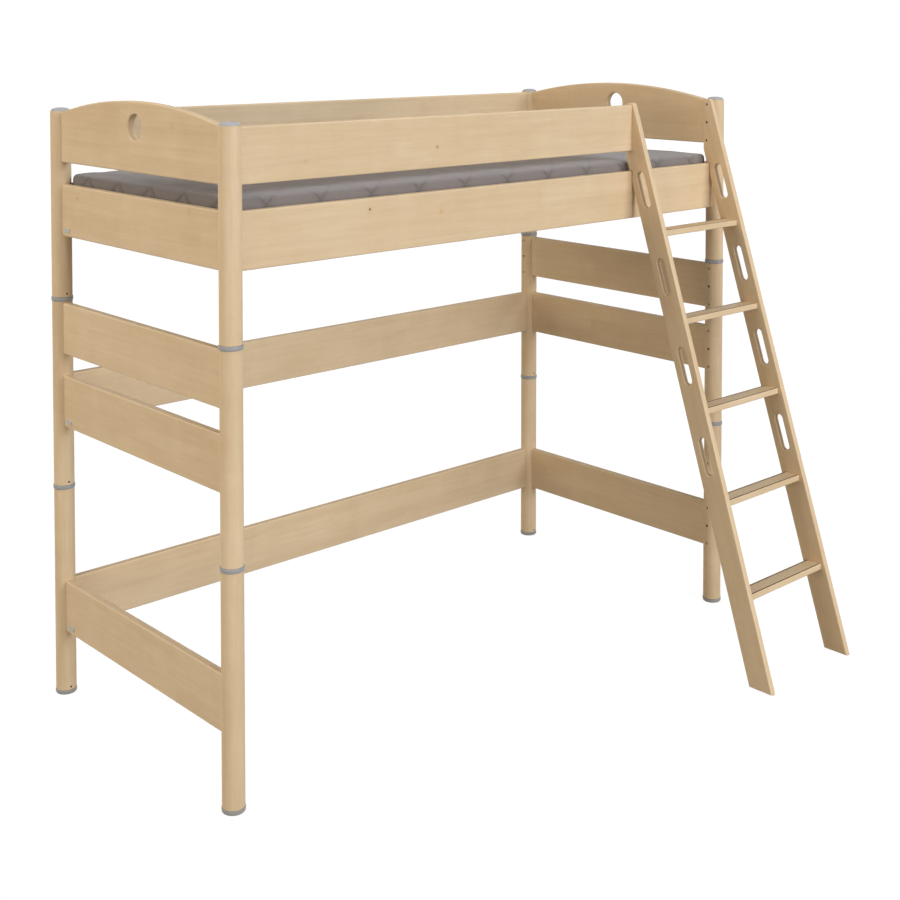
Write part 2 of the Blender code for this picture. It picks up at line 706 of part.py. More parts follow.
def make_ledge(side):
    """Strip on the inside of a long rail that carries the slatted base."""
    inward = 1 if side == "front" else -1
    rail = FRONT_Y if side == "front" else BACK_Y
    y = rail + inward * (BOARD_THICKNESS / 2 + GAP + LEDGE_DEPTH / 2)
    z = RAIL_LEVEL - BOARD_HEIGHT / 2 + LEDGE_LIFT + LEDGE_HEIGHT / 2
    bm = bmesh.new()
    add_rounded_bar(
        bm, POST_SPACING_X - 2 * LEDGE_END, LEDGE_DEPTH, LEDGE_HEIGHT, 0.002, "x", (0, y, z)
    )
    ledge = add_mesh(bm, f"slat_ledge_{side}", bed, (0, y, z))
    paint(ledge, BIRCH)


def slat_top():
    ledge_top = RAIL_LEVEL - BOARD_HEIGHT / 2 + LEDGE_LIFT + LEDGE_HEIGHT
    return ledge_top + GAP + BASE_RAIL_HEIGHT + SLAT_STEP


def make_slatted_base():
    """Two side rails with slats let into their top."""
    length = POST_SPACING_X - 2 * BASE_END
    rail_middle = slat_top() - SLAT_STEP - BASE_RAIL_HEIGHT / 2
    middle_y = (FRONT_Y + BACK_Y) / 2
    rail_offset = POST_SPACING_Y / 2 - BASE_SIDE - BASE_RAIL_WIDTH / 2
    bm = bmesh.new()
    for side in (-1, 1):
        centre = (0, middle_y + side * rail_offset, rail_middle)
        add_box(bm, (length, BASE_RAIL_WIDTH, BASE_RAIL_HEIGHT), centre)
    base = add_mesh(bm, "slatted_base", bed, (0, middle_y, rail_middle))
    paint(base, BIRCH)
    bm = bmesh.new()
    slat_length = 2 * rail_offset + BASE_RAIL_WIDTH - 0.004
    for number in range(SLAT_COUNT):
        reach = (length - SLAT_WIDTH) / 2 - 0.002
        x = -reach + 2 * reach * number / (SLAT_COUNT - 1)
        centre = (x, middle_y, slat_top() - SLAT_THICKNESS / 2)
        add_box(bm, (SLAT_WIDTH, slat_length, SLAT_THICKNESS), centre)
    combine(base, add_mesh(bm, "slats", cutters), "UNION")


def round_corner(x, y, half_x, half_y, radius):
    """Pull a point of a rectangle in, where it lies outside the round corner."""
    core_x = half_x - radius
    core_y = half_y - radius
    over = Vector((max(abs(x) - core_x, 0), max(abs(y) - core_y, 0)))
    if over.x == 0 or over.y == 0 or over.length <= radius:
        return x, y
    over *= radius / over.length
    return math.copysign(core_x + over.x, x), math.copysign(core_y + over.y, y)


def is_channel(column, row):
    """Whether a point of the quilting lattice lies on a sewn line."""
    across = column - 2
    return (across - (row + 1)) % QUILT_STEPS == 0 or (across + (row + 1)) % QUILT_STEPS == 0


def make_mattress():
    """Quilted mattress: crowned top, drawn-in sides and sewn diamond channels."""
    columns = QUILT_CELLS_X * QUILT_STEPS
    rows = QUILT_CELLS_Y * QUILT_STEPS - 2
    half_x = (POST_SPACING_X - BOARD_THICKNESS) / 2 - MATTRESS_END_GAP
    half_y = (POST_SPACING_Y - BOARD_THICKNESS) / 2 - MATTRESS_SIDE_GAP
    inner_x = half_x - MATTRESS_SHOULDER
    inner_y = half_y - MATTRESS_SHOULDER
    bottom = slat_top() + GAP
    top = bottom + MATTRESS_HEIGHT
    bm = bmesh.new()
    bmesh.ops.create_grid(bm, x_segments=columns, y_segments=rows, size=0.5)
    places = {}
    for vert in bm.verts:
        column = round((vert.co.x + 0.5) * columns)
        row = round((vert.co.y + 0.5) * rows)
        places[vert] = (column, row)
    # Cut each square along the sewn line that crosses it.
    for face in list(bm.faces):
        corners = sorted(face.verts, key=lambda v: places[v])
        low_left, high_left, low_right, high_right = corners
        column, row = places[low_left]
        rising = (column - 2 - (row + 1)) % QUILT_STEPS == 0
        pair = (low_left, high_right) if rising else (high_left, low_right)
        bmesh.utils.face_split(face, *pair)
    for vert, (column, row) in places.items():
        u = 2 * column / columns - 1
        v = 2 * row / rows - 1
        corner = MATTRESS_CORNER - MATTRESS_SHOULDER
        vert.co.xy = round_corner(u * inner_x, v * inner_y, inner_x, inner_y, corner)
        vert.co.z = top + MATTRESS_CROWN * (1 - u**4) * (1 - v**4)
        if is_channel(column, row):
            vert.co.z -= QUILT_DEPTH
    rim = [edge for edge in bm.edges if edge.is_boundary]
    steps = [
        (top - QUILT_SIDE_DROP, 0.0),
        (bottom + 0.022, 0.0),
        (bottom, 0.012),
    ]
    owner = {vert: places[vert] for edge in rim for vert in edge.verts}
    for index, (height, inset) in enumerate(steps):
        made = bmesh.ops.extrude_edge_only(bm, edges=rim)["geom"]
        fresh = [item for item in made if isinstance(item, bmesh.types.BMVert)]
        rim = [item for item in made if isinstance(item, bmesh.types.BMEdge)
               and item.is_boundary]
        next_owner = {}
        for vert in fresh:
            below = min(owner, key=lambda old: (old.co - vert.co).length_squared)
            column, row = owner[below]
            next_owner[vert] = (column, row)
            u = 2 * column / columns - 1
            v = 2 * row / rows - 1
            draw = SIDE_DRAW * (1 - (u if abs(v) == 1 else v) ** 2)
            sewn_row = -1 if abs(v) == 1 else row
            sewn_column = column if abs(v) == 1 else -1
            sewn = index == 0 and is_channel(sewn_column, sewn_row)
            pull = inset + draw + (QUILT_DEPTH if sewn else 0)
            x = u * (half_x - pull)
            y = v * (half_y - pull)
            x, y = round_corner(x, y, half_x - pull, half_y - pull, MATTRESS_CORNER - inset)
            vert.co = (x, y, height)
        owner = next_owner
    bmesh.ops.contextual_create(bm, geom=rim)
    middle_y = (FRONT_Y + BACK_Y) / 2
    mattress = add_mesh(bm, "mattress", bed)
    mattress.location.y = middle_y
    smooth(mattress)
    paint(mattress, GREY_FABRIC)


def make_badge(number, level):
    """Small blank plastic badge near the back post, low on the outside of a board."""
    y = BACK_Y - BADGE_INSET
    z = level - BOARD_HEIGHT / 2 + BADGE_RISE
    outline = []
    half_y = BADGE_WIDTH / 2 - 0.003
    half_z = BADGE_HEIGHT / 2 - 0.003
    for index, (side_y, side_z) in enumerate(((1, 1), (-1, 1), (-1, -1), (1, -1))):
        corner = (y + side_y * half_y, z + side_z * half_z)
        outline += arc(corner, 0.003, 90 * index, 90 * index + 90, 2)
    face = LEFT_X - BOARD_THICKNESS / 2 - GAP
    badge = plate(f"board_badge_{number}", [outline], BADGE_THICKNESS, 0.0006,
                  face - BADGE_THICKNESS / 2, bed, rounding=0)
    paint(badge, GREY_PLASTIC)


clear_scene()
bed = new_collection("loft_bed", True)
cutters = new_collection("cutters", False)

post_clearance = make_post_clearance()
for post_name in POSTS:
    for length_name in LENGTHS:
        make_post_length(post_name, length_name)
    make_post_plastics(post_name)
make_end("left", LEFT_X)
make_end("right", RIGHT_X)
make_long_sides()
for stile_side in ("left", "right"):
    make_stile(stile_side)
    make_ladder_bolt(stile_side)
for tread_number in range(1, TREAD_COUNT + 1):
    make_tread(tread_number)
make_ledge("front")
make_ledge("back")
make_slatted_base()
make_mattress()
for badge_name, badge_level in (("upper", RAIL_LEVEL), ("middle", MIDDLE_LEVEL), ("lower", LOWER_LEVEL)):
    make_badge(badge_name, badge_level)
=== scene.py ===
import random
from contextlib import contextmanager
from math import asin, atan, copysign, cos, degrees, exp, hypot, pi, radians, sin, sqrt, tau

import bmesh
import bpy
from mathutils import Matrix, Vector


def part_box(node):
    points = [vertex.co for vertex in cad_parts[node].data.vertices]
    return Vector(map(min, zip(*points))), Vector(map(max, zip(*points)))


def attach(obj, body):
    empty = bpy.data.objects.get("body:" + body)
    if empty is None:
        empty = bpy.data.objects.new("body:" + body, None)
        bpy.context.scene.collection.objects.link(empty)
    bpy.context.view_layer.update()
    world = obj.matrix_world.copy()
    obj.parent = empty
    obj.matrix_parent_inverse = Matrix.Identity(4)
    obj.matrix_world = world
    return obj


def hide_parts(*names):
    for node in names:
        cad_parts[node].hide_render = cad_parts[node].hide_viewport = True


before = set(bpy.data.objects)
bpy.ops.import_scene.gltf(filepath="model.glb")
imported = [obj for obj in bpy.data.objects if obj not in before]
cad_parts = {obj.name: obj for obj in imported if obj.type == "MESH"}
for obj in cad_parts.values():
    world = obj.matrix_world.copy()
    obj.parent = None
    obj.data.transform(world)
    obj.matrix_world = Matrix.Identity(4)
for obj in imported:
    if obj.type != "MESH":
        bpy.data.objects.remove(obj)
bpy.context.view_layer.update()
print("frame loaded")


class Signal:
    # A node socket that can be used in a Python expression.
    def __init__(self, shade, socket):
        self.shade = shade
        self.socket = socket

    def __add__(self, other):
        return self.shade.maths("ADD", self, other)

    def __radd__(self, other):
        return self.shade.maths("ADD", other, self)

    def __sub__(self, other):
        return self.shade.maths("SUBTRACT", self, other)

    def __rsub__(self, other):
        return self.shade.maths("SUBTRACT", other, self)

    def __mul__(self, other):
        return self.shade.maths("MULTIPLY", self, other)

    def __rmul__(self, other):
        return self.shade.maths("MULTIPLY", other, self)

    def __truediv__(self, other):
        return self.shade.maths("DIVIDE", self, other)

    def __pow__(self, other):
        return self.shade.maths("POWER", self, other)


class Shade:
    # The nodes of a new material, or of a tree that is there already.
    def __init__(self, name="", tree=None):
        if tree is None:
            self.material = bpy.data.materials.new(name)
            self.material.use_nodes = True
            tree = self.material.node_tree
            self.skin = tree.nodes["Principled BSDF"]
        self.tree = tree

    def add(self, kind, settings=None, values=None, output=0):
        node = self.tree.nodes.new("ShaderNode" + kind)
        for key, value in (settings or {}).items():
            setattr(node, key, value)
        for key, value in (values or {}).items():
            self.feed(node.inputs[key], value)
        return Signal(self, node.outputs[output])

    def feed(self, socket, value):
        if isinstance(value, Signal):
            self.tree.links.new(value.socket, socket)
        else:
            socket.default_value = value

    def set(self, values):
        for key, value in values.items():
            self.feed(self.skin.inputs[key], value)

    def maths(self, operation, *values):
        return self.add("Math", {"operation": operation}, dict(enumerate(values)))

    def vectors(self, operation, first, second, output=0):
        return self.add("VectorMath", {"operation": operation}, {0: first, 1: second}, output)

    def point(self, x, y):
        return self.add("CombineXYZ", {}, {0: x, 1: y})

    def axes(self, vector, count):
        return [self.add("SeparateXYZ", {}, {0: vector}, number) for number in range(count)]

    def attribute(self, name, output="Fac"):
        return self.add("Attribute", {"attribute_name": name}, output=output)

    def place(self):
        return self.add("TexCoord", output="Object")

    def ray(self, kind):
        return self.add("LightPath", output=f"Is {kind} Ray")

    def clamped(self, value):
        return self.add("Clamp", {}, {"Value": value})

    def noise(self, vector, scale, detail=2.0, roughness=0.5):
        values = {"Vector": vector, "Scale": scale, "Detail": detail, "Roughness": roughness}
        return self.add("TexNoise", {}, values)

    def steps(self, value, low, high):
        # 0 below low, 1 above high, smooth between them
        values = {"Value": value, "From Min": low, "From Max": high}
        return self.add("MapRange", {"interpolation_type": "SMOOTHSTEP"}, values)

    def mixed(self, share, first, second, kind="MIX"):
        values = {0: share, 6: first, 7: second}
        return self.add("Mix", {"data_type": "RGBA", "blend_type": kind}, values, output=2)

    def chance(self, value, seed):
        # An even random number for each whole value.
        place = self.point(value, self.maths("FLOOR", seed * 1000))
        return self.add("TexWhiteNoise", {"noise_dimensions": "2D"}, {"Vector": place})

    def bump(self, height, strength, distance):
        return self.add("Bump", {}, {"Height": height, "Strength": strength, "Distance": distance})


def tint(red, green, blue):
    # A colour as a photo editor shows it, turned by the sRGB curve to the shader's linear values.
    channels = []
    for value in (red, green, blue):
        share = value / 255
        channels.append(share / 12.92 if share <= 0.04045 else ((share + 0.055) / 1.055) ** 2.4)
    return (*channels, 1)


woodLook = {
    "light": tint(229, 206, 172), "dark": tint(200, 171, 132),
    "ringsPerMetre": 190,
    "staveWidth": 0.043, "staveLength": 0.52,
    "wander": 0.07, "wanderScale": (1.3, 7.0, 7.0),  # how far the rings drift from straight
    "pithSide": 0.12, "pithDepth": (0.03, 0.06),  # least, and how much more it may be
    # Cells a metre along and across the grain, detail, roughness and share of the dark colour.
    "figure": {
        "mottle": (11.0, 42.0, 4.0, 0.6, 0.44),
        "bands": (11.0, 2.6, 2.0, 0.5, 0.32),
        "clouds": (2.0, 6.0, 2.0, 0.5, 0.54),
        "streaks": (2.4, 70.0, 3.0, 0.6, 0.44),
        "fibres": (16.0, 700.0, 3.0, 0.6, 0.26),
    },
    "ringShare": 0.26, "staveShare": 0.14, "toneShare": 0.05, "darkShare": 0.42,
    "fleckScale": (190.0, 1300.0, 1300.0),
    "fleckEdge": (0.66, 0.74),
    "fleck": (tint(168, 130, 90), 0.22),
    "edge": (tint(240, 222, 194), 0.20),
    # Colour and share of the painted shade in drilled holes and grooves.
    "hollow": (tint(66, 38, 18), 0.92),  # drilled holes and grooves
    "roughness": 0.52,
    "relief": (0.30, 0.00030),
}

# Small knots: place on the bed, radius, strength and colour.
darkKnot, brownKnot, paleKnot = tint(58, 36, 22), tint(150, 96, 52), tint(206, 160, 100)
knots = [
    ((-0.5708, -0.1979, 1.5537), 0.0050, 1.00, darkKnot),
    ((-0.3160, -0.1979, 1.7158), 0.0060, 0.60, brownKnot),
    ((-0.3002, -0.1979, 1.5236), 0.0080, 0.45, paleKnot),
    ((-0.7942, -0.1979, 1.7022), 0.0050, 0.45, paleKnot),
    ((-1.0411, 0.6115, 1.5501), 0.0070, 0.60, paleKnot),
    ((-1.0411, 0.0749, 1.7931), 0.0070, 0.45, paleKnot),
    ((-1.0411, -0.0075, 1.5688), 0.0070, 0.40, paleKnot),
]
knotLook = {
    "halo": (0.8, 3.2),  # from and to, in radii of the knot
    "core": (0.45, 1.0),
    "haloColour": tint(205, 165, 112), "haloShare": 0.30,
}


def addKnots(shade, colour, ragged):
    spotOn = shade.place()
    for spot, size, strength, core in knots:
        away = shade.vectors("DISTANCE", spotOn, spot, "Value") + ragged * size
        halo, middle = [1 - shade.steps(away, *[size * reach for reach in knotLook[zone]])
                        for zone in ("halo", "core")]
        haloShare = halo * knotLook["haloShare"] * strength
        colour = shade.mixed(haloShare, colour, knotLook["haloColour"])
        colour = shade.mixed(middle * strength, colour, core)
    return colour


def makeWood(name, look, knotted=False):
    shade = Shade(name)
    grain = shade.attribute("grain", "Vector")  # along, across and through the piece, in metres
    seed, tone, edge, hollow = map(shade.attribute, ("seed", "tone", "edge", "hollow"))
    # These keep pieces, staves, lengths and rings from looking like their neighbours.
    pieceShift, staveShift, lengthShift, placeShift, ringShift = (37.0, 11.0), 5.0, 7.0, 13.0, 91
    seeded = shade.vectors("ADD", grain, shade.point(seed * pieceShift[0], seed * pieceShift[1]))
    along, across, through = shade.axes(grain, 3)

    def noise(factors, detail=2.0, roughness=0.5):
        return shade.noise(shade.vectors("MULTIPLY", seeded, factors), 1.0, detail, roughness)

    # Glued staves, each cut from another place in the tree.
    stave = shade.maths("FLOOR", across / look["staveWidth"] + seed * staveShift)
    staveChance = shade.chance(stave, seed)
    length = shade.maths("FLOOR", along / look["staveLength"] + staveChance * lengthShift)
    place = shade.chance(stave + length * placeShift, seed)

    # Growth rings round a pith beside the stave, wandering slowly along it.
    drift = noise(look["wanderScale"]) - 0.5
    side = across + drift * look["wander"] + (place - 0.5) * look["pithSide"]
    nearest, spare = look["pithDepth"]
    depth = through + nearest + staveChance * spare
    radius = (side * side + depth * depth) ** 0.5
    ringPlace = shade.point(radius * look["ringsPerMetre"], place * ringShift)
    rings = shade.noise(ringPlace, 1.0, 3.0, 0.55)

    # Mottled figure, long streaks and fibres, then the short dark flecks of the wood.
    figure = {}
    share = (rings - 0.5) * look["ringShare"]
    for kind, (lengthwise, crosswise, detail, roughness, weight) in look["figure"].items():
        figure[kind] = noise((lengthwise, crosswise, crosswise), detail, roughness)
        share = share + (figure[kind] - 0.5) * weight
    share = share + (place - 0.5) * look["staveShare"] + tone * look["toneShare"] + look["darkShare"]
    colour = shade.mixed(shade.clamped(share), look["light"], look["dark"])
    flecks = shade.steps(noise(look["fleckScale"], 1.0), *look["fleckEdge"])
    for layer, mask in (("fleck", flecks), ("edge", edge)):
        colour = shade.mixed(mask * look[layer][1], colour, look[layer][0])
    if knotted:
        colour = addKnots(shade, colour, figure["mottle"] - 0.5)
    # Painted shade darkens the drilled holes and the grooves that the hollow mask marks.
    hollowShadeColour, hollowShade = look["hollow"]
    colour = shade.mixed(shade.steps(hollow, 0.0, 0.4) * hollowShade, colour, hollowShadeColour)
    fibres, streaks = figure["fibres"], figure["streaks"]
    shade.set({
        "Base Color": colour,
        "Roughness": look["roughness"] + (fibres - 0.5) * 0.14 + (streaks - 0.5) * 0.10 - edge * 0.06,
        "Specular IOR Level": 0.28,
        "Normal": shade.bump(fibres * 0.6 + rings * 0.4 - flecks * 0.5, *look["relief"]),
    })
    return shade.material


plasticLook = {
    "ring": tint(150, 152, 156),
    "cap": tint(166, 169, 176),
    "foot": tint(150, 148, 146),
    "badge": tint(182, 181, 180),
}
plasticGrain = {
    "fine": 2600.0,  # cells a metre
    "cloud": 60.0,
    "paler": (1.10, 1.10, 1.10, 1),  # what the colour is multiplied by
    "darker": (0.90, 0.89, 0.88, 1),
    # Share of the paler colour on the rims, a painted highlight.
    "edge": 0.35,
    "roughness": 0.40,
    "relief": (0.22, 0.00012),
}


def makePlastic(name, colour):
    shade = Shade(name)
    place = shade.place()
    fine = shade.noise(place, plasticGrain["fine"], 2.0, 0.6)
    cloud = shade.noise(place, plasticGrain["cloud"], 3.0, 0.5)
    paler = shade.mixed(1.0, colour, plasticGrain["paler"], "MULTIPLY")
    darker = shade.mixed(1.0, colour, plasticGrain["darker"], "MULTIPLY")
    body = shade.mixed(cloud * 0.7 + fine * 0.3, darker, paler)
    # The rims that the edge mask marks are paler: a painted highlight.
    shade.set({
        "Base Color": shade.mixed(shade.attribute("edge") * plasticGrain["edge"], body, paler),
        "Roughness": plasticGrain["roughness"] + (fine - 0.5) * 0.2 + (cloud - 0.5) * 0.1,
        "Normal": shade.bump(fine, *plasticGrain["relief"]),
    })
    return shade.material


steelLook = {
    "dark": tint(92, 86, 78), "light": tint(132, 128, 122),
    "fine": 1900.0, "cloud": 240.0,
    "roughness": 0.32,
    "relief": (0.3, 0.00008),
}


def makeSteel(name):
    shade = Shade(name)
    place = shade.place()
    fine = shade.noise(place, steelLook["fine"], 3.0, 0.6)
    cloud = shade.noise(place, steelLook["cloud"], 2.0)
    shade.set({
        "Base Color": shade.mixed(cloud, steelLook["dark"], steelLook["light"]),
        "Metallic": 0.9, "Roughness": steelLook["roughness"] + (fine - 0.5) * 0.3,
        "Normal": shade.bump(fine, *steelLook["relief"]),
    })
    return shade.material


quilt = {
    "pitch": (0.1813, 0.1776),  # size of a diamond along and across the bed
    "firstPoint": 0.1086,  # first point of the front side, from the left end
    "pointDrop": 0.018,  # the points lie this far down the cover from the top edge
    "endTurn": 0.012,  # and this much more on the ends, where the lines are also moved
    "endDrop": 0.013,
    "endReach": 0.080,
    "stitch": 0.0052,
    "sharp": 180,  # no edge looks sharp
    "cell": 0.0100,  # mesh size before the subdivision
    "slack": 0.0018,  # how much smaller the cover starts than its CAD solid
    "crown": 0.0060,
    "crownPower": 4,  # higher is flatter in the middle
    "shoulder": 0.0150,
    "shoulderSteps": 4,
    "corner": 0.0245,  # rounding of the corners, seen from above
    "foot": 0.0120,
    "footSteps": 3,
    "pressure": 4.0,
    "clothMass": 0.3, "clothQuality": 4, "clothFrames": 20,
    "heldWidth": 0.009,
    "sideCap": 0.0042,  # how far the cloth may swell
    "topCap": 0.0022,
    "sideSeam": 0.0042,  # how deep the seams are drawn in
    "topSeam": 0.0006,
    "seamless": 0.004,  # height of the underside's edge without seams
    "softness": 0.0050,
    # Painted shade darkens the side this far down.
    "shade": 0.055,  # the side is darker this far down
    "wave": 0.0004,
}
coverLook = {
    "dark": tint(127, 120, 119), "light": tint(141, 134, 132),
    "loops": (620.0, 620.0, 620.0),
    "melange": 420.0, "patches": 7.0, "fuzz": 2400.0,
    "seamWidth": (0.0006, 0.0030),
    "shadowWidth": 0.020,
    "stitchEdge": (0.16, 0.24),
    "topFade": 0.8,  # how much less the seams show on the top
    "relief": (0.75, 0.0011),
    # Colours laid over the knit one after the other, and how much they cover: top is painted light; low,
    # lowEnd and end are painted shade down the side and on the ends; shadow and seam are painted shade
    # round and in the seams.
    "layers": {
        "top": (tint(154, 150, 155), 0.85),
        "low": (tint(112, 104, 104), 0.85),
        "lowEnd": (tint(76, 68, 66), 0.85),
        "loop": (tint(110, 103, 102), 0.25),
        "end": (tint(118, 111, 110), 0.65),
        "shadow": (tint(100, 93, 92), 0.20),
        "seam": (tint(66, 58, 58), 0.75),
        "thread": (tint(168, 160, 156), 0.5),
    },
}


def makeCover(name):
    shade = Shade(name)
    place = shade.place()
    u, v = shade.axes(shade.attribute("quilt", "Vector"), 2)  # place on the cover, in diamonds
    top, low, end = map(shade.attribute, ("topPanel", "lowSide", "endPanel"))
    pitch = quilt["pitch"][0]

    def fromMiddle(value):
        # How far a value is from its nearest half, 0 to 0.5.
        return shade.maths("ABSOLUTE", shade.maths("FRACT", value) - 0.5)

    gaps = [fromMiddle(line + 0.5) * (pitch / sqrt(2)) for line in (u - v, u + v)]
    nearest = shade.maths("MINIMUM", *gaps)
    # Painted shade in the seam lines and round them, fainter on the top.
    fade = 1 - top * coverLook["topFade"]
    seam = (1 - shade.steps(nearest, *coverLook["seamWidth"])) * fade
    shadow = (1 - shade.steps(nearest, 0.0, coverLook["shadowWidth"])) * fade
    thread = seam * shade.steps(fromMiddle(u * (pitch / quilt["stitch"])), *coverLook["stitchEdge"])

    # Knitted cover: rows of small loops, with a melange of two yarns.
    loops = shade.add(
        "TexVoronoi", {"feature": "F1"},
        {"Vector": shade.vectors("MULTIPLY", place, coverLook["loops"]),
         "Scale": 1.0, "Randomness": 0.55}, output="Distance",
    )
    melange = shade.noise(place, coverLook["melange"], 3.0, 0.6)
    patches = shade.noise(place, coverLook["patches"], 3.0, 0.5)
    fuzz = shade.noise(place, coverLook["fuzz"], 2.0, 0.7)
    yarn = shade.clamped(melange * 1.5 - 0.25 + (patches - 0.5) * 0.5)
    colour = shade.mixed(yarn, coverLook["dark"], coverLook["light"])
    # Masks for the painted light on the top and the painted shade on the lower side, the ends and the
    # seams.
    masks = {"top": top, "low": low, "lowEnd": end * low, "loop": loops, "end": end,
             "shadow": shadow, "seam": seam, "thread": thread}
    for layer, (over, share) in coverLook["layers"].items():
        colour = shade.mixed(masks[layer] * share, colour, over)
    relief = 0 - loops * 0.7 + fuzz * 0.25 + melange * 0.2 - seam * 1.6 + thread * 1.1
    shade.set({
        "Base Color": colour, "Roughness": 0.9 + (fuzz - 0.5) * 0.1, "Specular IOR Level": 0.2,
        "Sheen Weight": 0.25, "Sheen Roughness": 0.45,
        "Normal": shade.bump(relief, *coverLook["relief"]),
    })
    return shade.material


woodMaterial = makeWood("lacqueredWood", woodLook, knotted=True)
baseWood = makeWood("planedWood", dict(
    woodLook, light=tint(230, 208, 172), dark=tint(206, 176, 132), roughness=0.6,
))
plastics = {name: makePlastic(name + "Plastic", colour) for name, colour in plasticLook.items()}
boltSteel = makeSteel("boltSteel")
coverCloth = makeCover("quiltedCover")
print("materials made")


def boxOf(node):
    low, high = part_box(node)
    return Vector(low), Vector(high)


def midOf(node):
    low, high = boxOf(node)
    return (low + high) / 2


@contextmanager
def editing(mesh):
    bm = bmesh.new()
    bm.from_mesh(mesh)
    yield bm
    bm.to_mesh(mesh)
    bm.free()


def addObject(name, data):
    thing = bpy.data.objects.new(name, data)
    bpy.context.scene.collection.objects.link(thing)
    return thing


def shapedMesh(thing):
    # The mesh of an object with its modifiers worked in.
    bpy.context.view_layer.update()
    shaped = thing.evaluated_get(bpy.context.evaluated_depsgraph_get())
    return bpy.data.meshes.new_from_object(shaped)


def smoothPiece(piece, sharp):
    for face in piece.data.polygons:
        face.use_smooth = True
    piece.data.set_sharp_from_angle(angle=radians(sharp))


def newPiece(name, verts, faces, material, sharp):
    mesh = bpy.data.meshes.new(name)
    mesh.from_pydata([tuple(v) for v in verts], [], faces)
    with editing(mesh) as bm:
        bmesh.ops.recalc_face_normals(bm, faces=bm.faces)
    piece = addObject(name, mesh)
    mesh.materials.append(material)
    smoothPiece(piece, sharp)
    return piece


def weighNormals(piece):
    weigh = piece.modifiers.new("evenFaces", "WEIGHTED_NORMAL")
    weigh.keep_sharp = True
    weigh.weight = 100


def spread(piece, name, values):
    # Numbers or vectors for the points of a piece, for its material to read.
    kind = "FLOAT_VECTOR" if isinstance(values[0], tuple) else "FLOAT"
    layer = piece.data.attributes.new(name, kind, "POINT")
    if kind == "FLOAT_VECTOR":
        layer.data.foreach_set("vector", [part for value in values for part in value])
    else:
        layer.data.foreach_set("value", values)


def addGrain(piece, along, across, centre, edgeOf, hollowOf=lambda spot: 0.0):
    # Lays the wood's directions, its own seed and tone, its worn edges and the hollows that get painted
    # shade on a piece.
    chance = random.Random(piece.name)
    seed = chance.random()
    tone = chance.uniform(-1, 1)
    through = along.cross(across)
    spots = [v.co for v in piece.data.vertices]
    points = [spot - centre for spot in spots]
    spread(piece, "grain", [(p.dot(along), p.dot(across), p.dot(through)) for p in points])
    spread(piece, "seed", [seed] * len(points))
    spread(piece, "tone", [tone] * len(points))
    spread(piece, "edge", [float(edgeOf(spot)) for spot in spots])
    spread(piece, "hollow", [float(hollowOf(spot)) for spot in spots])


def settle(piece, slot, *nodes):
    # Puts a finished piece on the bed, in place of its CAD nodes.
    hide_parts(*nodes)
    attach(piece, "root")


def cutAway(piece, rods, sides=20):
    # Takes cylinders (radius, start, end) out of a piece.
    mesh = bpy.data.meshes.new("rods")
    with editing(mesh) as bm:
        for radius, start, end in rods:
            axis = Vector(end) - Vector(start)
            turn = axis.to_track_quat("Z", "Y").to_matrix().to_4x4()
            bmesh.ops.create_cone(
                bm, cap_ends=True, segments=sides, radius1=radius, radius2=radius, depth=axis.length,
                matrix=Matrix.Translation((Vector(start) + Vector(end)) / 2) @ turn,
            )
    tool = addObject("rods", mesh)
    cut = piece.modifiers.new("cut", "BOOLEAN")
    cut.operation = "DIFFERENCE"
    cut.solver = "EXACT"
    cut.object = tool
    shaped = shapedMesh(piece)
    piece.modifiers.clear()
    old = piece.data
    piece.data = shaped
    bpy.data.meshes.remove(old)
    bpy.data.objects.remove(tool, do_unlink=True)


def joinRows(lower, upper):
    # Faces between two closed rows of points; a row of one point is a pole.
    count = max(len(lower), len(upper))
    faces = []
    for step in range(count):
        after = (step + 1) % count
        if len(lower) == 1:
            faces.append((lower[0], upper[after], upper[step]))
        elif len(upper) == 1:
            faces.append((lower[step], lower[after], upper[0]))
        else:
            faces.append((lower[step], lower[after], upper[after], upper[step]))
    return faces


def joinAllRows(rows):
    return [face for lower, upper in zip(rows, rows[1:]) for face in joinRows(lower, upper)]


def evenRows(count, length):
    return [range(row * length, (row + 1) * length) for row in range(count)]


def revolve(name, profile, axis, material, sharp):
    # A turned piece from (radius, height) points, bottom to top.
    sides = post["sides"]
    verts = []
    rows = []
    for radius, height in profile:
        count = sides if radius > 0 else 1
        rows.append(range(len(verts), len(verts) + count))
        for step in range(count):
            angle = tau * (step + 0.5) / sides
            verts.append((axis.x + radius * cos(angle), axis.y + radius * sin(angle), height))
    return newPiece(name, verts, joinAllRows(rows), material, sharp)


def roundCorner(centre, radius, start, end, count):
    points = []
    for step in range(count + 1):
        angle = radians(start + (end - start) * step / count)
        points.append((centre[0] + radius * cos(angle), centre[1] + radius * sin(angle)))
    return points


post = {
    "radius": 0.0309, "sides": 96,
    "boltHole": 0.0043, "boltDepth": 0.019,
    "dowelHole": 0.0038, "dowelDepth": 0.0118,
    # The holes get painted shade; the shallow dowel holes get this share of it.
    "dowelHollowShade": 0.12,  # the shallow dowel holes are this dark, the others fully
    "lockHole": 0.0031, "lockDepth": 0.0080, "lockRise": 0.0095,
    "holePitch": 0.0641,
    "overshoot": 0.004,  # how far the drill starts outside the post
    "skin": 0.003,  # points nearer to the outside than this are not in a hole
    "edge": 0.0009, "rounding": ((1, 0), (0.3, 0.3), (0, 1)),  # inward and along, in edges
    "spigot": 0.030,  # what rings, caps and feet have inside the posts
    "sharp": 50,
    "grainAcross": Vector((0.83, 0.56, 0)),
}
up = Vector((0, 0, 1))
postNames = {
    "front_left": (1, 1), "front_right": (-1, 1), "back_left": (1, -1), "back_right": (-1, -1),
}
postAxis = {name: midOf(f"post_{name}_upper").to_2d().to_3d() for name in postNames}
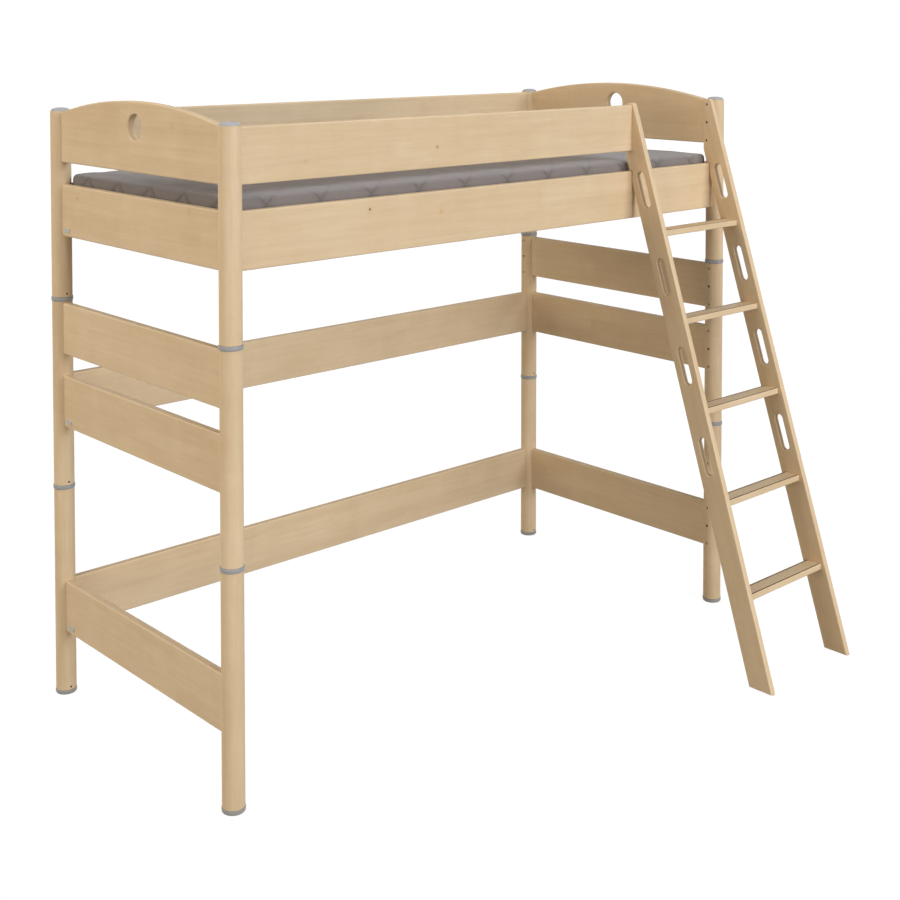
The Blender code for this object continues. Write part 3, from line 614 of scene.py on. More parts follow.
# Levels of fixing holes that no board covers.
frontLevels = {"middle": [1.1424, 0.9176], "lower": [0.2773, 0.5027]}
backLevels = {"middle": [1.1424]}
openLevels = {
    "front_left": frontLevels, "front_right": {"upper": [1.7296], **frontLevels},
    "back_left": backLevels, "back_right": backLevels,
}
mouldSharp = 32  # degrees from which an edge looks sharp, as in the other pieces
turnedSkin = {"thickness": 0.00025, "facing": 0.95}  # which faces keep the post's round shading


def postNormals(mesh, axis):
    # The drilled skin keeps the smooth shading of a turned post.
    normals = [n.vector.copy() for n in mesh.corner_normals]
    for face in mesh.polygons:
        for corner in face.loop_indices:
            spot = mesh.vertices[mesh.loops[corner].vertex_index].co
            out = Vector((spot.x - axis.x, spot.y - axis.y, 0))
            onSkin = abs(out.length - post["radius"]) < turnedSkin["thickness"]
            if onSkin and face.normal.dot(out.normalized()) > turnedSkin["facing"]:
                normals[corner] = out.normalized()
    mesh.normals_split_custom_set(normals)


def roundedEnds(look, radius, bottom, top):
    # The outline of a turned length, the same at both ends.
    size = look["edge"]
    points = [(radius - size * inward, size * run) for inward, run in look["rounding"]]
    return [(0, bottom), *[(out, bottom + run) for out, run in points],
            *[(out, top - run) for out, run in reversed(points)], (0, top)]


def makePost(name, length):
    low, high = boxOf(f"post_{name}_{length}")
    axis = postAxis[name]
    radius = post["radius"]
    rim = post["edge"]
    profile = roundedEnds(post, radius, low.z, high.z)
    piece = revolve(f"post_{name}_{length}_turned", profile, axis, woodMaterial, post["sharp"])
    sideX, sideY = postNames[name]
    levels = openLevels[name].get(length, [])

    def bore(kind, x, y, height):
        # A rod from just outside the post into the side that x and y give.
        mouth, floor = radius + post["overshoot"], radius - post[kind + "Depth"]
        ends = [axis + Vector((x * out, y * out, height)) for out in (mouth, floor)]
        return post[kind + "Hole"], *ends

    rods = [bore("dowel" if step else "bolt", sideX, 0, level + step * post["holePitch"])
            for level in levels for step in (-1, 0, 1)]
    rods.append(bore("lock", 0, sideY, low.z + post["lockRise"]))
    cutAway(piece, rods)
    smoothPiece(piece, post["sharp"])
    postNormals(piece.data, axis)

    def wearAndSheenEdge(spot):
        return min(spot.z - low.z, high.z - spot.z) < rim * 0.9

    # How much painted shade the walls and floors of the holes get.
    def sunk(spot):
        inside = (spot - axis).to_2d().length <= radius - post["skin"]
        if not inside or not low.z + rim * 2 < spot.z < high.z - rim * 2:
            return 0.0
        offPitch = [abs(abs(spot.z - level) - post["holePitch"]) for level in levels]
        return post["dowelHollowShade"] if min(offPitch, default=1) < post["dowelHole"] * 2 else 1.0

    middle = axis + up * ((low.z + high.z) / 2)
    addGrain(piece, up, post["grainAcross"], middle, wearAndSheenEdge, sunk)
    settle(piece, "post_wood", f"post_{name}_{length}")


def mould(node, kind, profile, axis, wearAndSheenEdge):
    # A turned plastic piece that stands for its node, paler on the rims that its last argument marks, a
    # painted highlight.
    piece = revolve(node + "_moulded", profile, axis, plastics[kind], mouldSharp)
    spread(piece, "edge", [float(wearAndSheenEdge(v.co.z)) for v in piece.data.vertices])
    settle(piece, kind + "_plastic", node)


ring = {
    "radius": 0.0329, "edge": 0.0022,
    "rounding": ((1, 0), (0.35, 0.25), (0.08, 0.6), (0, 1.1)),
    # Share of the end rounding that gets the painted highlight.
    "wearAndSheen": 0.7,
}


def makeRing(node, axis):
    low, high = boxOf(node)
    bottom = low.z + post["spigot"]
    top = high.z - post["spigot"]
    profile = roundedEnds(ring, ring["radius"], bottom, top)
    # Rims this near the ends get the painted highlight.
    wearAndSheenEdge = ring["edge"] * ring["wearAndSheen"]
    mould(node, "ring", profile, axis, lambda z: min(z - bottom, top - z) < wearAndSheenEdge)


cap = {
    "inset": 0.0024, "rim": 0.0016, "edge": 0.0004, "domeSteps": 14,
    "fullness": 0.9,  # 1 is an ellipse, less is squarer
}


def makeCap(node, axis):
    low, high = boxOf(node)
    base = low.z + post["spigot"]
    radius = post["radius"] - cap["inset"]
    rim = base + cap["rim"]
    profile = [(0, base), (radius - cap["edge"], base), (radius, base + cap["edge"]), (radius, rim)]
    for step in range(1, cap["domeSteps"]):
        angle = radians(90 * step / cap["domeSteps"])
        profile.append((radius * cos(angle) ** cap["fullness"],
                        rim + (high.z - rim) * sin(angle)))
    profile.append((0, high.z))
    mould(node, "cap", profile, axis, lambda z: 0.0)


foot = {
    # Inward from the widest radius, and height.
    "rounding": ((0.0035, 0), (0.0020, 0.0006), (0.0008, 0.0022), (0.0002, 0.0050), (0, 0.0075)),
    "topEdge": (0.0009, 0.0012),
    # Height of the top rim that gets the painted highlight.
    "wearAndSheen": 0.001,
}


def makeFoot(node, axis):
    low, high = boxOf(node)
    radius = (high.x - low.x) / 2
    top = high.z - post["spigot"]
    inward, drop = foot["topEdge"]
    profile = [(0, 0), *[(radius - step, height) for step, height in foot["rounding"]],
               (radius, top - drop), (radius - inward, top), (0, top)]
    # The top rim gets the painted highlight.
    mould(node, "foot", profile, axis, lambda z: z > top - foot["wearAndSheen"])


for postName, postPlace in postAxis.items():
    for postLength in ("lower", "middle", "upper"):
        makePost(postName, postLength)
    for postLength in ("lower", "middle"):
        makeRing(f"post_ring_{postName}_{postLength}", postPlace)
    makeCap(f"post_cap_{postName}", postPlace)
    makeFoot(f"post_foot_{postName}", postPlace)
print("posts made")

board = {
    "thickness": 0.024,
    "rounding": 0.0048, "roundingSteps": 5,
    "fit": 0.0003,  # gap between a board's hollow end and its post
    "wearAndSheen": (0.05, 0.75),  # the worn band, in shares of the rounding
    "sharp": 50,
}
postReach = post["radius"] + board["fit"]


def onBand(away, half, rounding, wearAndSheen):
    # Whether a point this far from the middle of a piece is on the worn band of its edge.
    return half - rounding * wearAndSheen[1] < away < half - rounding * wearAndSheen[0]


def makeBoard(node, slot, startAxis, endAxis, squareEnd=None):
    low, high = boxOf(node)
    half = board["thickness"] / 2
    rounding = board["rounding"]
    steps = board["roundingSteps"]
    along = (endAxis - startAxis).normalized()
    across = along.cross(up)
    length = (endAxis - startAxis).length
    chain = [*roundCorner((rounding - half, -rounding), rounding, 180, 90, steps), (0.0, 0.0),
             *roundCorner((half - rounding, -rounding), rounding, 90, 0, steps)]
    verts = []
    for end in (0, 1):
        for side in (1, -1):
            for offset, drop in chain:
                height = high.z + drop if side == 1 else low.z - drop
                hollow = sqrt(postReach**2 - offset**2)
                run = (squareEnd or length - hollow) if end else hollow
                verts.append(startAxis + along * run + across * offset + up * height)
    count = len(chain)
    startTop, startLow, endTop, endLow = evenRows(4, count)
    pairs = ((startTop, endTop), (startLow, endLow), (startTop, startLow), (endTop, endLow))
    faces = [(one[i], one[i + 1], other[i + 1], other[i])
             for i in range(count - 1) for one, other in pairs]
    for i in (0, count - 1):
        faces.append((startTop[i], startLow[i], endLow[i], endTop[i]))
    piece = newPiece(node + "_planed", verts, faces, woodMaterial, board["sharp"])
    weighNormals(piece)
    halfHeight = (high.z - low.z) / 2
    middle = startAxis + along * (length / 2) + up * (low.z + halfHeight)

    def wearAndSheenEdge(spot):
        return onBand(abs(spot.z - middle.z), halfHeight, rounding, board["wearAndSheen"])

    addGrain(piece, along, up, middle, wearAndSheenEdge)
    settle(piece, slot, node)


frontLeft, frontRight = postAxis["front_left"], postAxis["front_right"]
backLeft, backRight = postAxis["back_left"], postAxis["back_right"]
for side, frontPost, backPost in (("left", frontLeft, backLeft), ("right", frontRight, backRight)):
    makeBoard(f"bed_rail_{side}", "end_board_wood", frontPost, backPost)
    for level in ("upper", "middle", "lower"):
        makeBoard(f"end_board_{side}_{level}", "end_board_wood", frontPost, backPost)
for node in ("guard_back", "bed_rail_back", "back_board_middle", "back_board_lower"):
    makeBoard(node, "long_board_wood", backLeft, backRight)
makeBoard("bed_rail_front", "long_board_wood", frontLeft, frontRight)
stileLeft = boxOf("ladder_stile_left")
stileRight = boxOf("ladder_stile_right")
makeBoard("guard_front", "long_board_wood", frontLeft, frontRight,
          squareEnd=stileLeft[0].x - board["fit"] - frontLeft.x)
print("boards made")

plate = {
    "bevelSteps": 4, "weld": 0.00001, "sharp": 40,
    "wearAndSheen": (0.05, 0.85),
    "copeSides": 128,  # sides of the cylinder that makes room for a post
}


def cutPlate(name, outlines, thickness, rounding, x):
    # Outlines in Y and Z, the first one outside; the plate stands across the bed at x.
    curve = bpy.data.curves.new(name, "CURVE")
    curve.dimensions = "2D"
    curve.fill_mode = "BOTH"
    curve.extrude = thickness / 2 - rounding
    curve.bevel_depth = rounding
    curve.bevel_resolution = plate["bevelSteps"]
    curve.offset = -rounding
    for outline in outlines:
        spline = curve.splines.new("POLY")
        spline.points.add(len(outline) - 1)
        for point, (y, z) in zip(spline.points, outline):
            point.co = (y, z, 0, 1)
        spline.use_cyclic_u = True
    drawn = addObject(name, curve)
    mesh = shapedMesh(drawn)
    bpy.data.objects.remove(drawn, do_unlink=True)
    upright = Matrix(((0, 0, 1, x), (1, 0, 0, 0), (0, 1, 0, 0), (0, 0, 0, 1)))
    with editing(mesh) as bm:
        bmesh.ops.remove_doubles(bm, verts=bm.verts, dist=plate["weld"])
        bmesh.ops.transform(bm, verts=bm.verts, matrix=upright)
        bmesh.ops.recalc_face_normals(bm, faces=bm.faces)
    mesh.materials.clear()
    mesh.materials.append(woodMaterial)
    return addObject(name, mesh)


headboard = {
    "shoulder": 0.1545, "rise": 0.0483, "archSteps": 60,
    "holeRadius": 0.0370, "holeDrop": 0.0740, "holeSteps": 56,
    "rounding": 0.0048,
    "tuck": 0.018,  # the outline starts inside the posts, this far from their axes
    "copeLevels": (1.5, 2.0),
}


def makeHeadboard(side, frontPost, backPost):
    node = f"headboard_{side}"
    low, high = boxOf(node)
    middle = (frontPost.y + backPost.y) / 2
    half = (backPost.y - frontPost.y) / 2 - post["radius"]
    rise = headboard["rise"]
    radius = (half**2 + rise**2) / (2 * rise)
    angle = degrees(asin(half / radius))
    start, end = frontPost.y + headboard["tuck"], backPost.y - headboard["tuck"]
    shoulder = low.z + headboard["shoulder"]
    top = roundCorner((middle, high.z - radius), radius, 90 - angle, 90 + angle, headboard["archSteps"])
    outline = [(start, low.z), (end, low.z), (end, shoulder), *top, (start, shoulder)]
    hole = roundCorner((middle, high.z - headboard["holeDrop"]), headboard["holeRadius"],
                       0, 360, headboard["holeSteps"])[:-1]
    piece = cutPlate(node + "_shaped", [outline, hole], board["thickness"], headboard["rounding"],
                     frontPost.x)
    bottom, roof = headboard["copeLevels"]
    cutAway(piece, [(postReach, axis + up * bottom, axis + up * roof) for axis in (frontPost, backPost)],
            plate["copeSides"])
    smoothPiece(piece, plate["sharp"])
    weighNormals(piece)

    def wearAndSheenEdge(spot):
        return onBand(abs(spot.x - frontPost.x), board["thickness"] / 2, headboard["rounding"],
                      plate["wearAndSheen"])

    addGrain(piece, Vector((0, 1, 0)), up, Vector((frontPost.x, middle, (low.z + high.z) / 2)), wearAndSheenEdge)
    settle(piece, "end_board_wood", node)


makeHeadboard("left", frontLeft, backLeft)
makeHeadboard("right", frontRight, backRight)
print("headboards made")

ladder = {
    "slope": 0.3136, "treadPitch": 0.27910, "treadCount": 5,
}
stile = {
    "run": 0.08625,  # front to back, level
    "hook": 0.0010,
    "top": 1.8130,
    "back": 0.0143,
    "topCorner": 0.0100, "cornerSteps": 8,
    "rounding": 0.0040,
    "slotWidth": 0.0296, "slotLength": 0.1223, "slotRise": 0.1309, "slotSteps": 16,
    "drillSides": 24, "drillOvershoot": 0.01,
    "holeEdge": 0.0002,
    "copeLevels": (-0.1, 2.0),
    "grainLevel": 0.9,
}
railTop = boxOf("bed_rail_front")[1].z
guardLevel = midOf("guard_front").z
frontLine = frontLeft.y - stile["hook"] - ladder["slope"] * railTop - stile["run"]


def stileFront(height):
    return frontLine + ladder["slope"] * height


def stileRear(height):
    return stileFront(height) + stile["run"]


def stileOutline():
    railFront = frontLeft.y - board["thickness"] / 2 - board["fit"]
    notch = railTop + board["fit"]
    back = frontLeft.y + stile["back"]
    lean = degrees(atan(ladder["slope"]))
    corner, steps = stile["topCorner"], stile["cornerSteps"]
    crown = stile["top"] - corner
    frontCentre = (stileFront(crown) + corner / cos(radians(lean)), crown)
    rearBase = stileRear(0)
    return [
        (rearBase, 0), (railFront, (railFront - rearBase) / ladder["slope"]), (railFront, notch),
        (stileRear(notch), notch), (back, (back - rearBase) / ladder["slope"]),
        *roundCorner((back - corner, crown), corner, 0, 90, steps),
        *roundCorner(frontCentre, corner, 90, 180 - lean, steps),
        (stileFront(0), 0),
    ]


def slotOutline(number):
    height = ladder["treadPitch"] * number + stile["slotRise"]
    middle = Vector(((stileFront(height) + stileRear(height)) / 2, height))
    lean = atan(ladder["slope"])
    half = Vector((sin(lean), cos(lean))) * (stile["slotLength"] - stile["slotWidth"]) / 2
    radius, steps, tilt = stile["slotWidth"] / 2, stile["slotSteps"], -degrees(lean)
    return (roundCorner(middle + half, radius, tilt, tilt + 180, steps)
            + roundCorner(middle - half, radius, tilt + 180, tilt + 360, steps))


def makeStile(side):
    node = f"ladder_stile_{side}"
    low, high = boxOf(node)
    half = (high.x - low.x) / 2
    middleX = (low.x + high.x) / 2
    outlines = [stileOutline(), *[slotOutline(n) for n in range(2, ladder["treadCount"] + 1)]]
    piece = cutPlate(node + "_shaped", outlines, high.x - low.x, stile["rounding"], middleX)
    levels = {step: guardLevel + step * post["holePitch"] for step in (-1, 0, 1)}
    rods = []
    for step, height in levels.items():
        radius = post["dowelHole"] if step else post["boltHole"]
        if side == "right" or not step:
            rods.append((radius, (low.x - stile["drillOvershoot"], frontLeft.y, height),
                         (high.x + stile["drillOvershoot"], frontLeft.y, height)))
    cutAway(piece, rods, stile["drillSides"])
    if side == "right":
        bottom, roof = stile["copeLevels"]
        cutAway(piece, [(postReach, frontRight + up * bottom, frontRight + up * roof)],
                plate["copeSides"])
    smoothPiece(piece, plate["sharp"])
    weighNormals(piece)
    along = Vector((0, ladder["slope"], 1)).normalized()
    across = Vector((0, 1, -ladder["slope"])).normalized()

    def wearAndSheenEdge(spot):
        return onBand(abs(spot.x - middleX), half, stile["rounding"], plate["wearAndSheen"])

    # The bolt hole's walls get painted shade.
    def sunk(spot):
        away = min(hypot(spot.y - frontLeft.y, spot.z - level) for level in levels.values())
        return abs(spot.x - middleX) < half - 0.001 and away < post["boltHole"] + stile["holeEdge"]

    centre = Vector((middleX, stileFront(stile["grainLevel"]), stile["grainLevel"]))
    addGrain(piece, along, across, centre, wearAndSheenEdge, sunk)
    settle(piece, "stile_wood", node)


tread = {
    "setback": 0.0130, "depth": 0.0570, "thickness": 0.0195,
    "nose": 0.0035,  # rounding of the front edge, and then of the rear edge
    "noseSteps": 8,
    "heel": 0.0030, "heelSteps": 5,
    "grooveEdge": 0.0010, "grooveWidth": 0.0036, "grooveDepth": 0.0030, "grooveBreak": 0.0004,
    "grooveSlack": (0.0001, 0.0003),  # which points count as inside a groove, across and down
    "wearAndSheen": 0.2,
}


def makeTread(number):
    # Number 1 is the highest tread.
    node = f"ladder_tread_{number}"
    top = ladder["treadPitch"] * (ladder["treadCount"] + 1 - number)
    nose = stileFront(top) + tread["setback"]
    heel = nose + tread["depth"]
    bottom = top - tread["thickness"]
    noseRound, heelRound, width = tread["nose"], tread["heel"], tread["grooveWidth"]
    outline = [
        *roundCorner((nose + noseRound, bottom + noseRound), noseRound, 270, 180, tread["noseSteps"]),
        *roundCorner((nose + noseRound, top - noseRound), noseRound, 180, 90, tread["noseSteps"]),
    ]
    floor, broken = top - tread["grooveDepth"], tread["grooveBreak"]
    frontGroove = nose + noseRound + tread["grooveEdge"]
    backGroove = heel - heelRound - tread["grooveEdge"] - width
    for left in (frontGroove, backGroove):
        right = left + width
        outline += [(left - broken, top), (left, top - broken), (left, floor), (right, floor),
                    (right, top - broken), (right + broken, top)]
    outline += roundCorner((heel - heelRound, top - heelRound), heelRound, 90, 0, tread["heelSteps"])
    outline += roundCorner((heel - heelRound, bottom + heelRound), heelRound, 0, -90, tread["heelSteps"])
    start = stileLeft[1].x + board["fit"]
    end = stileRight[0].x - board["fit"]
    count = len(outline)
    verts = [(x, y, z) for x in (start, end) for y, z in outline]
    faces = [tuple(range(count)), tuple(range(2 * count - 1, count - 1, -1)),
             *joinAllRows(evenRows(2, count))]
    piece = newPiece(node + "_planed", verts, faces, woodMaterial, plate["sharp"])
    weighNormals(piece)

    def wearAndSheenEdge(spot):
        onNose = spot.y < nose + noseRound * 0.6 and spot.z > top - noseRound * 1.1
        return tread["wearAndSheen"] if onNose else 0.0

    # The grooves get painted shade.
    def sunk(spot):
        aside, below = tread["grooveSlack"]
        inside = frontGroove - aside < spot.y < backGroove + width + aside
        return inside and spot.z < top - below

    addGrain(piece, Vector((1, 0, 0)), Vector((0, 1, 0)),
             Vector(((start + end) / 2, (nose + heel) / 2, (top + bottom) / 2)), wearAndSheenEdge, sunk)
    settle(piece, "tread_wood", node)


bolt = {
    "sides": 24,
    "socket": 0.0019,  # half the width of the hexagon, before its play
    "socketPlay": 0.95,
    "socketDepth": 0.0028, "socketMouth": 0.0022,
    "face": 0.0037, "head": 0.0041, "bevel": 0.0005, "headLength": 0.0050,
    "shank": 0.0030, "weld": 0.000001,
}


def makeBolt(side):
    # Socket head sunk in its stile, with the shank behind it.
    node = f"ladder_bolt_{side}"
    low, high = boxOf(node)
    inward = 1 if side == "right" else -1
    mouth = low.x if side == "right" else high.x
    length = high.x - low.x
    rows = [
        (0.0, bolt["socketDepth"]), ("hexagon", bolt["socketDepth"]), (bolt["socketMouth"], 0.0),
        (bolt["face"], 0.0), (bolt["head"], bolt["bevel"]), (bolt["head"], bolt["headLength"]),
        (bolt["shank"], bolt["headLength"]), (bolt["shank"], length), (0.0, length),
    ]
    verts = []
    for radius, run in rows:
        for step in range(bolt["sides"]):
            angle = tau * step / bolt["sides"]
            reach = radius
            if radius == "hexagon":
                flat = cos((angle % (pi / 3)) - pi / 6)
                reach = bolt["socket"] / flat * bolt["socketPlay"]
            verts.append((mouth + inward * run, frontLeft.y + reach * cos(angle),
                          guardLevel + reach * sin(angle)))
    faces = joinAllRows(evenRows(len(rows), bolt["sides"]))
    piece = newPiece(node + "_turned", verts, faces, boltSteel, plate["sharp"])
    with editing(piece.data) as bm:
        bmesh.ops.remove_doubles(bm, verts=bm.verts, dist=bolt["weld"])
        bmesh.ops.recalc_face_normals(bm, faces=bm.faces)
    settle(piece, "bolt_steel", node)


for stileSide in ("left", "right"):
    makeStile(stileSide)
    makeBolt(stileSide)
for treadNumber in range(1, ladder["treadCount"] + 1):
    makeTread(treadNumber)
print("ladder made")

badge = {
    "corner": 0.0030, "cornerSteps": 6,
    "rows": ((0.0, 0.0), (0.0, 0.45), (0.00035, 0.8), (0.0011, 1.0)),  # inset, share of the height
    # Depth from the front that is paler, a painted highlight.
    "wearAndSheen": 0.0007,
}


def makeBadge(node):
    low, high = boxOf(node)
    corner = badge["corner"]
    left, right = low.y + corner, high.y - corner
    floor, top = low.z + corner, high.z - corner
    verts = []
    for inset, rise in badge["rows"]:
        x = high.x - (high.x - low.x) * rise
        for turn, centre in enumerate(((right, top), (left, top), (left, floor), (right, floor))):
            arc = roundCorner(centre, corner - inset, 90 * turn, 90 * turn + 90, badge["cornerSteps"])
            verts += [(x, y, z) for y, z in arc]
    rows = evenRows(len(badge["rows"]), 4 * (badge["cornerSteps"] + 1))
    faces = [tuple(rows[0]), tuple(reversed(rows[-1])), *joinAllRows(rows)]
    piece = newPiece(node + "_moulded", verts, faces, plastics["badge"], plate["sharp"])
    weighNormals(piece)
    # The front is paler: a painted highlight.
    spread(piece, "edge", [float(v.co.x < low.x + badge["wearAndSheen"]) for v in piece.data.vertices])
    settle(piece, "badge_plastic", node)


for level in ("upper", "middle", "lower"):
    makeBadge(f"board_badge_{level}")

# The slatted base and its ledges keep their CAD shape.
for node in ("slat_ledge_front", "slat_ledge_back", "slatted_base"):
    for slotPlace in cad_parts[node].material_slots:
        slotPlace.material = baseWood
print("badges made and base dressed")


def seamGap(value):
    return abs((value + 0.5) % 1.0 - 0.5) * quilt["pitch"][0] / sqrt(2)


def seamDistance(u, v):
    return min(seamGap(u - v), seamGap(u + v))


def within(value, limit):
    return max(-limit, min(value, limit))


def coverMesh(low, high):
    # The cover without its stuffing, open below: points, faces and each point's place in diamonds.
    centre = (low + high) / 2
    half = (high - low) / 2
    shoulder, corner, foot = quilt["shoulder"], quilt["corner"], quilt["foot"]
    flat = Vector((half.x - shoulder, half.y - shoulder))
    coreX, coreY = flat.x - (corner - shoulder), flat.y - (corner - shoulder)
    columns = round(2 * flat.x / quilt["cell"])
    rows = round(2 * flat.y / quilt["cell"])
    topZ = high.z - quilt["crown"]
    power = quilt["crownPower"]

    def lay(x, y):
        # The lines lie a little further down on the ends than their pitch would give.
        toEnd = min(1.0, max(0.0, 1.0 - (x - low.x) / quilt["endReach"]))
        toEnd *= toEnd * (3 - 2 * toEnd)
        drop = quilt["pointDrop"] + quilt["endTurn"] * toEnd
        return ((x + quilt["endDrop"] * toEnd - low.x - quilt["firstPoint"]) / quilt["pitch"][0],
                (y - low.y + drop) / quilt["pitch"][1])

    verts, places, grid = [], [], {}
    for i in range(columns + 1):
        for j in range(rows + 1):
            x = -flat.x + 2 * flat.x * i / columns
            y = -flat.y + 2 * flat.y * j / rows
            overX, overY = abs(x) - coreX, abs(y) - coreY
            if overX > 0 and overY > 0:
                squeeze = max(overX, overY) / hypot(overX, overY)
                x = copysign(coreX + overX * squeeze, x)
                y = copysign(coreY + overY * squeeze, y)
            grid[i, j] = len(verts)
            crown = quilt["crown"] * (1 - (x / half.x) ** power) * (1 - (y / half.y) ** power)
            verts.append(Vector((centre.x + x, centre.y + y, topZ + crown)))
            places.append(lay(centre.x + x, centre.y + y))
    faces = [(grid[i, j], grid[i + 1, j], grid[i + 1, j + 1], grid[i, j + 1])
             for i in range(columns) for j in range(rows)]

    # Rows of points over the rounded top edge, down the side and under: outward, down, along the cover.
    profile = []
    for step in range(1, quilt["shoulderSteps"] + 1):
        angle = radians(90 * step / quilt["shoulderSteps"])
        profile.append((shoulder * sin(angle), shoulder * (1 - cos(angle)), shoulder * angle))
    side = topZ - shoulder - low.z - foot
    sideRows = round(side / quilt["cell"])
    for step in range(1, sideRows + 1):
        down = side * (step / sideRows)
        profile.append((shoulder, shoulder + down, shoulder * pi / 2 + down))
    for step in range(1, quilt["footSteps"] + 1):
        angle = radians(90 * step / quilt["footSteps"])
        profile.append((shoulder - foot * (1 - cos(angle)), shoulder + side + foot * sin(angle),
                        shoulder * pi / 2 + side + foot * angle))
    rim = ([(i, 0) for i in range(columns)] + [(columns, j) for j in range(rows)]
           + [(i, rows) for i in range(columns, 0, -1)] + [(0, j) for j in range(rows, 0, -1)])
    edge = [grid[spot] for spot in rim]
    outward = []
    for index in edge:
        spot = verts[index] - centre
        core = Vector((within(spot.x, coreX), within(spot.y, coreY), 0))
        outward.append((Vector((spot.x, spot.y, 0)) - core).normalized())
    previous = edge
    for out, drop, run in profile:
        current = range(len(verts), len(verts) + len(edge))
        for index, away in zip(edge, outward):
            spot = verts[index]
            verts.append(Vector((spot.x, spot.y, topZ)) + away * out - up * drop)
            places.append(lay(spot.x + away.x * run, spot.y + away.y * run))
        faces += joinRows(previous, current)
        previous = current
    return verts, faces, places


def stuff(piece, places, bottom):
    # Cloth: the cover is held along its seams and blown up between them.
    sewn = piece.vertex_groups.new(name="sewn")
    for vertex, (u, v) in zip(piece.data.vertices, places):
        hold = max(0.0, 1.0 - seamDistance(u, v) / quilt["heldWidth"])
        sewn.add([vertex.index], 1.0 if vertex.co.z < bottom + quilt["foot"] else hold, "REPLACE")
    cloth = piece.modifiers.new("stuffing", "CLOTH")
    settings = cloth.settings
    settings.quality = quilt["clothQuality"]
    settings.mass = quilt["clothMass"]
    settings.vertex_group_mass = "sewn"
    settings.use_pressure = True
    settings.uniform_pressure_force = quilt["pressure"]
    settings.effector_weights.gravity = 0
    cloth.collision_settings.use_collision = False
    for number in range(1, quilt["clothFrames"] + 1):
        bpy.context.scene.frame_set(number)
    blown = piece.evaluated_get(bpy.context.evaluated_depsgraph_get()).data
    moves = [after.co - before.co for after, before in zip(blown.vertices, piece.data.vertices)]
    piece.modifiers.clear()
    piece.vertex_groups.clear()
    bpy.context.scene.frame_set(1)
    print("cloth moved up to", round(max(move.length for move in moves) * 1000, 1), "mm")
    flatness = [abs(vertex.normal.z) for vertex in piece.data.vertices]
    for vertex, move, share in zip(piece.data.vertices, moves, flatness):
        most = quilt["sideCap"] + (quilt["topCap"] - quilt["sideCap"]) * share
        vertex.co += move * (most / max(most, move.length))


def clothWave(u, v):
    # Small crossing waves, each bent by the other direction.
    return sin(11 * u + 1.7 * sin(3 * v)) * sin(10 * v + sin(4 * u))


def makeMattress():
    low, high = boxOf("mattress")
    inset = Vector((quilt["slack"], quilt["slack"], 0))
    verts, faces, places = coverMesh(low + inset, high - inset)
    piece = newPiece("mattress_quilted", verts, faces, coverCloth, quilt["sharp"])
    spread(piece, "quilt", [(u, v, 0.0) for u, v in places])
    stuff(piece, places, low.z)
    finer = piece.modifiers.new("finer", "SUBSURF")
    finer.levels = finer.render_levels = 1
    finer.boundary_smooth = "PRESERVE_CORNERS"
    mesh = shapedMesh(piece)
    piece.modifiers.clear()
    piece.data = mesh
    with editing(mesh) as bm:
        bmesh.ops.holes_fill(bm, edges=[edge for edge in bm.edges if edge.is_boundary], sides=0)

    # Seams, drawn in deepest on the sides, and the small waves of the cloth.
    normals = [v.normal.copy() for v in mesh.vertices]
    for vertex, normal, place in zip(mesh.vertices, normals, mesh.attributes["quilt"].data):
        if vertex.co.z < low.z + quilt["seamless"]:
            continue
        u, v, _ = place.vector
        depth = quilt["sideSeam"] + (quilt["topSeam"] - quilt["sideSeam"]) * abs(normal.z)
        drawn = depth * exp(-seamDistance(u, v) / quilt["softness"])
        vertex.co += normal * (quilt["wave"] * clothWave(u, v) - drawn)
    # Masks for the painted shade on the ends and down the side, and for the painted light on the top.
    edge = high.z - quilt["crown"] - quilt["shoulder"]
    spread(piece, "endPanel", [abs(normal.x) ** 1.5 for normal in normals])
    spread(piece, "topPanel", [max(0.0, normal.z - 0.5) * 2.0 for normal in normals])
    depths = [(edge - v.co.z) / quilt["shade"] for v in mesh.vertices]
    spread(piece, "lowSide", [min(1.0, max(0.0, depth)) for depth in depths])
    settle(piece, "mattress_cover", "mattress")


makeMattress()
print("mattress made")

room = {
    "floor": (0.10, 0.10, 0.10, 1),
    "floorSize": 40, "floorDrop": 0.0003,
    "floorGlow": 0.93,  # what the camera's white floor needs on top of its light
    "around": (0.225, 0.22, 0.21, 1),
    "seen": (1.0, 1.0, 1.0, 1),  # what the camera sees behind the bed
}
lampTarget = (0, 0.2, 1.0)
# Place, size, power and colour.
lamps = {
    "frontSoftbox": ((1.6, -13.0, 5.8), (8.0, 3.0), 1265, (0.85, 0.92, 1.0)),
    "frontLowStrip": ((1.6, -13.0, 1.2), (10.0, 2.4), 345, (1.0, 0.80, 0.58)),
    "leftBackSoftbox": ((-9.0, 6.0, 4.0), (6.0, 5.0), 280, (1.0, 0.85, 0.60)),
    "leftNearSoftbox": ((-8.0, -0.5, 2.2), (2.6, 2.0), 80, (0.88, 0.95, 1.0)),
    "leftFrontSoftbox": ((-10.0, -5.0, 1.8), (3.0, 2.0), 150, (1.0, 0.80, 0.58)),
    "topSoftbox": ((0.0, 0.0, 9.0), (2.0, 2.0), 70, (1.0, 0.90, 0.76)),
    "leftTopSoftbox": ((-4.5, 1.5, 7.8), (2.0, 2.0), 130, (1.0, 0.90, 0.78)),
}


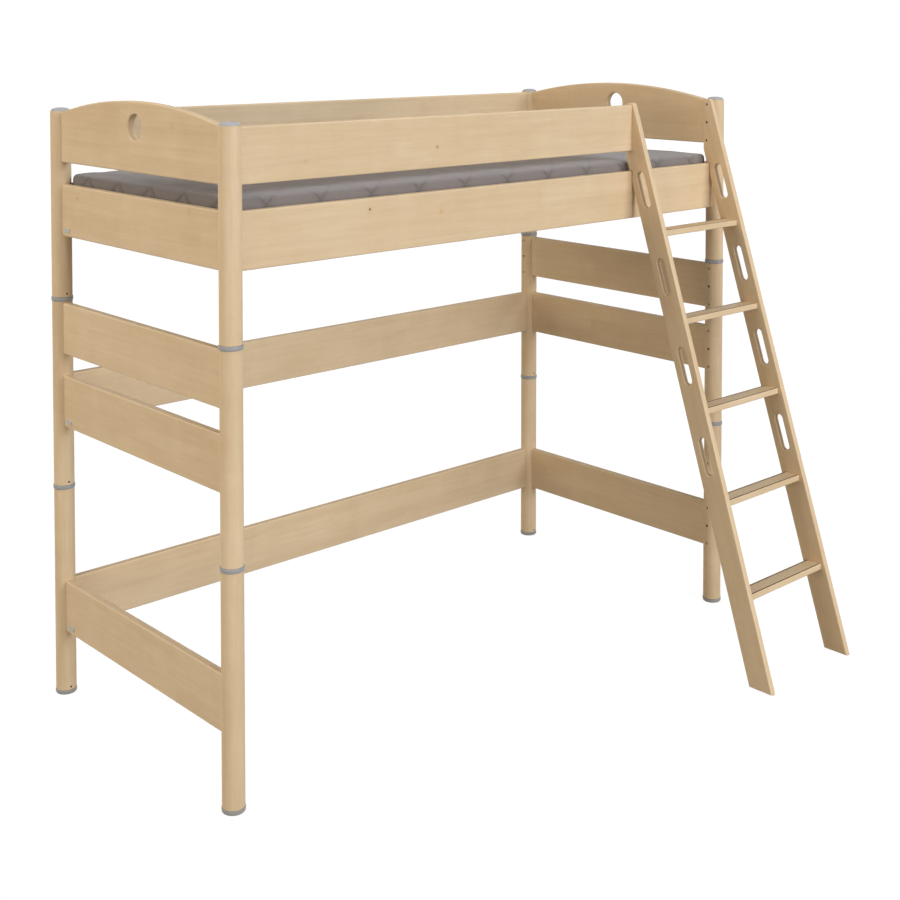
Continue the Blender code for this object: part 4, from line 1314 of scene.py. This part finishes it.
def makeStage():
    mesh = bpy.data.meshes.new("floor")
    with editing(mesh) as bm:
        bmesh.ops.create_grid(bm, x_segments=1, y_segments=1, size=room["floorSize"])
    floor = addObject("floor", mesh)
    floor.location.z = -room["floorDrop"]
    shade = Shade("paleFloor")
    shade.set({"Base Color": room["floor"], "Roughness": 0.85})
    white = shade.add("Emission", {}, {
        "Color": (1, 1, 1, 1),
        "Strength": (shade.ray("Camera") + shade.ray("Glossy")) * room["floorGlow"],
    })
    both = shade.add("AddShader", {}, {0: Signal(shade, shade.skin.outputs[0]), 1: white})
    shade.feed(shade.tree.nodes["Material Output"].inputs["Surface"], both)
    mesh.materials.append(shade.material)


def makeWorld():
    world = bpy.data.worlds.new("studio")
    world.use_nodes = True
    bpy.context.scene.world = world
    sky = Shade(tree=world.node_tree)
    shown = sky.maths("MAXIMUM", sky.ray("Camera"), sky.ray("Glossy"))
    colour = sky.mixed(shown, room["around"], room["seen"])
    sky.feed(sky.tree.nodes["Background"].inputs["Color"], colour)


def addLamp(name, place, size, power, colour):
    light = bpy.data.lights.new(name, "AREA")
    light.shape = "RECTANGLE"
    light.size, light.size_y = size
    light.energy = power
    light.color = colour
    holder = addObject(name, light)
    holder.location = place
    aim = Vector(lampTarget) - Vector(place)
    holder.rotation_euler = aim.to_track_quat("-Z", "Y").to_euler()


makeStage()
makeWorld()
for lampName, lampValues in lamps.items():
    addLamp(lampName, *lampValues)

view = {
    "place": (-3.0956, -3.2798, 2.0562),
    "turn": 42.448,  # degrees from +Y towards +X
    "dip": 2.2407,
    "lens": 56.93, "sensor": 36,
    "shift": (0.003092, -0.404638),
    "farthest": 200,
}


def makeCamera():
    data = bpy.data.cameras.new("camera")
    data.lens = view["lens"]
    data.sensor_width = view["sensor"]
    data.shift_x, data.shift_y = view["shift"]
    data.clip_end = view["farthest"]
    camera = addObject("camera", data)
    turn, dip = radians(view["turn"]), radians(view["dip"])
    forward = Vector((sin(turn) * cos(dip), cos(turn) * cos(dip), -sin(dip)))
    right = Vector((cos(turn), -sin(turn), 0))
    above = right.cross(forward)
    camera.matrix_world = Matrix((
        (right.x, above.x, -forward.x, view["place"][0]),
        (right.y, above.y, -forward.y, view["place"][1]),
        (right.z, above.z, -forward.z, view["place"][2]),
        (0, 0, 0, 1),
    ))
    bpy.context.scene.camera = camera


makeCamera()
bpy.context.scene.view_settings.view_transform = "Standard"
print("room, lamps and camera made")
